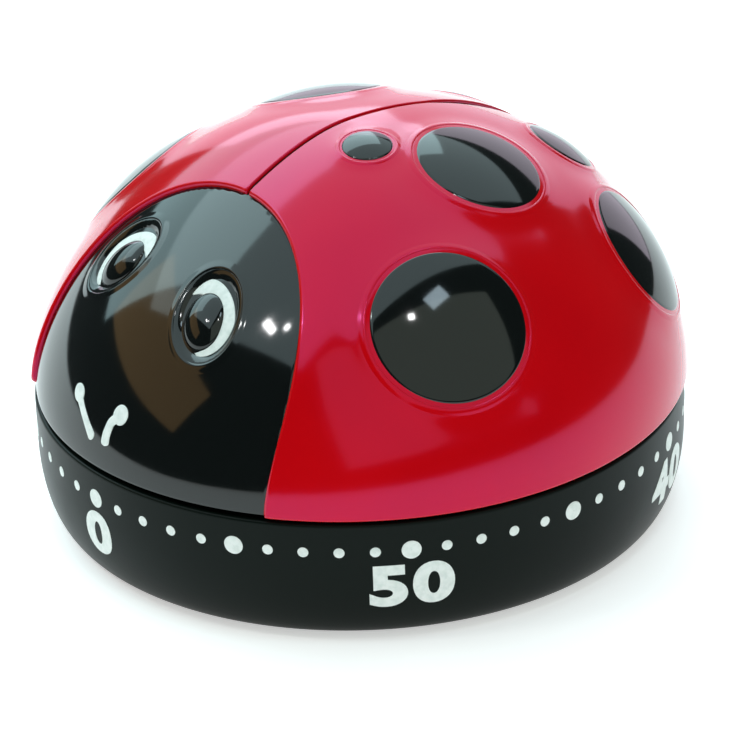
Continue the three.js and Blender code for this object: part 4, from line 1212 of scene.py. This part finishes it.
# %% [markdown]
# ## Floor and light
#
# A plain studio table is opal and lit from below, so the ground is nearly white and the shadow is soft.
# The floor's faint emission does the same. Gloss plastic shows little but what it reflects: wide panels
# behind and at the side lay pale sheets over the crown, one warm panel shows brown in the head, and a
# few tiny lamps leave the sharp glints. The front stays dark, because there red and black have to look
# deep.

# %% Floor
FLOOR_REACH = 3.0


def make_floor():
    """A flat plate far wider than the view."""
    corners = [(x * FLOOR_REACH, y * FLOOR_REACH, 0) for x, y in ((-1, -1), (1, -1), (1, 1), (-1, 1))]
    mesh = bpy.data.meshes.new("floor")
    mesh.from_pydata(corners, [], [(0, 1, 2, 3)])
    floor = bpy.data.objects.new("floor", mesh)
    bpy.context.scene.collection.objects.link(floor)
    material, _, principled, _ = new_material("opal_light_table", roughness=0.8)
    principled.inputs["Base Color"].default_value = linear("#f4f4f4")
    principled.inputs["Emission Color"].default_value = linear("#ffffff")
    principled.inputs["Emission Strength"].default_value = 0.5
    mesh.materials.append(material)


make_floor()
print("floor reaches, m:", FLOOR_REACH)


# %% Light
MIDDLE = Vector((0, 0, 0.03))


def area_light(name, place, width, height, power, colour, aim=MIDDLE):
    """A rectangular lamp that faces its aim point."""
    lamp = bpy.data.lights.new(name, "AREA")
    lamp.shape = "RECTANGLE"
    lamp.size, lamp.size_y = width, height
    lamp.energy = power
    lamp.color = linear(colour)[:3]
    holder = bpy.data.objects.new(name, lamp)
    holder.location = place
    holder.rotation_mode = "QUATERNION"
    holder.rotation_quaternion = (Vector(aim) - Vector(place)).to_track_quat("-Z", "Y")
    bpy.context.scene.collection.objects.link(holder)


world = bpy.data.worlds.new("studio")
world.use_nodes = True
world.node_tree.nodes["Background"].inputs["Color"].default_value = linear("#cfe0e4")
world.node_tree.nodes["Background"].inputs["Strength"].default_value = 0.10
bpy.context.scene.world = world


def around(azimuth, elevation, distance):
    """A place at an angle round from the head, an angle up and a distance from the timer's middle."""
    turn, rise = math.radians(azimuth), math.radians(elevation)
    flat = distance * math.cos(rise)
    return MIDDLE + Vector((flat * math.sin(turn), -flat * math.cos(turn), distance * math.sin(rise)))


# Name, place, width and height in metres, power in watts and colour. Each but the softbox faces the middle.
LAMPS = [
    ("window_wall", around(-100, 36, 1.6), 1.9, 1.1, 17, "#cdf3f8"),
    ("back_panel", around(-140, 14, 1.8), 2.4, 0.9, 12, "#eae0f0"),
    ("fill", around(80, 42, 2.2), 3.4, 2.4, 17, "#f0fff0"),
    ("warm_panel", around(-45, 27, 1.2), 1.0, 0.34, 1.4, "#c9a36c"),
    ("lamp_round", around(62, 65, 0.7), 0.035, 0.035, 0.22, "#ffffff"),
    ("lamp_bar", around(-19, 52, 0.7), 0.06, 0.022, 0.22, "#ffffff"),
    ("lamp_dot", around(-11, 55, 0.7), 0.018, 0.018, 0.06, "#ffffff"),
    ("window", around(103, 69, 0.8), 0.16, 0.10, 0.35, "#d9f2ff"),
]
area_light("softbox", (-0.85, 0.25, 1.2), 2.1, 2.6, 24, "#dcf6fa", aim=(-0.85, 0.25, 0))
for lamp in LAMPS:
    area_light(*lamp)
print("lamps", len(LAMPS) + 1)
bpy.context.scene.view_settings.view_transform = "Standard"
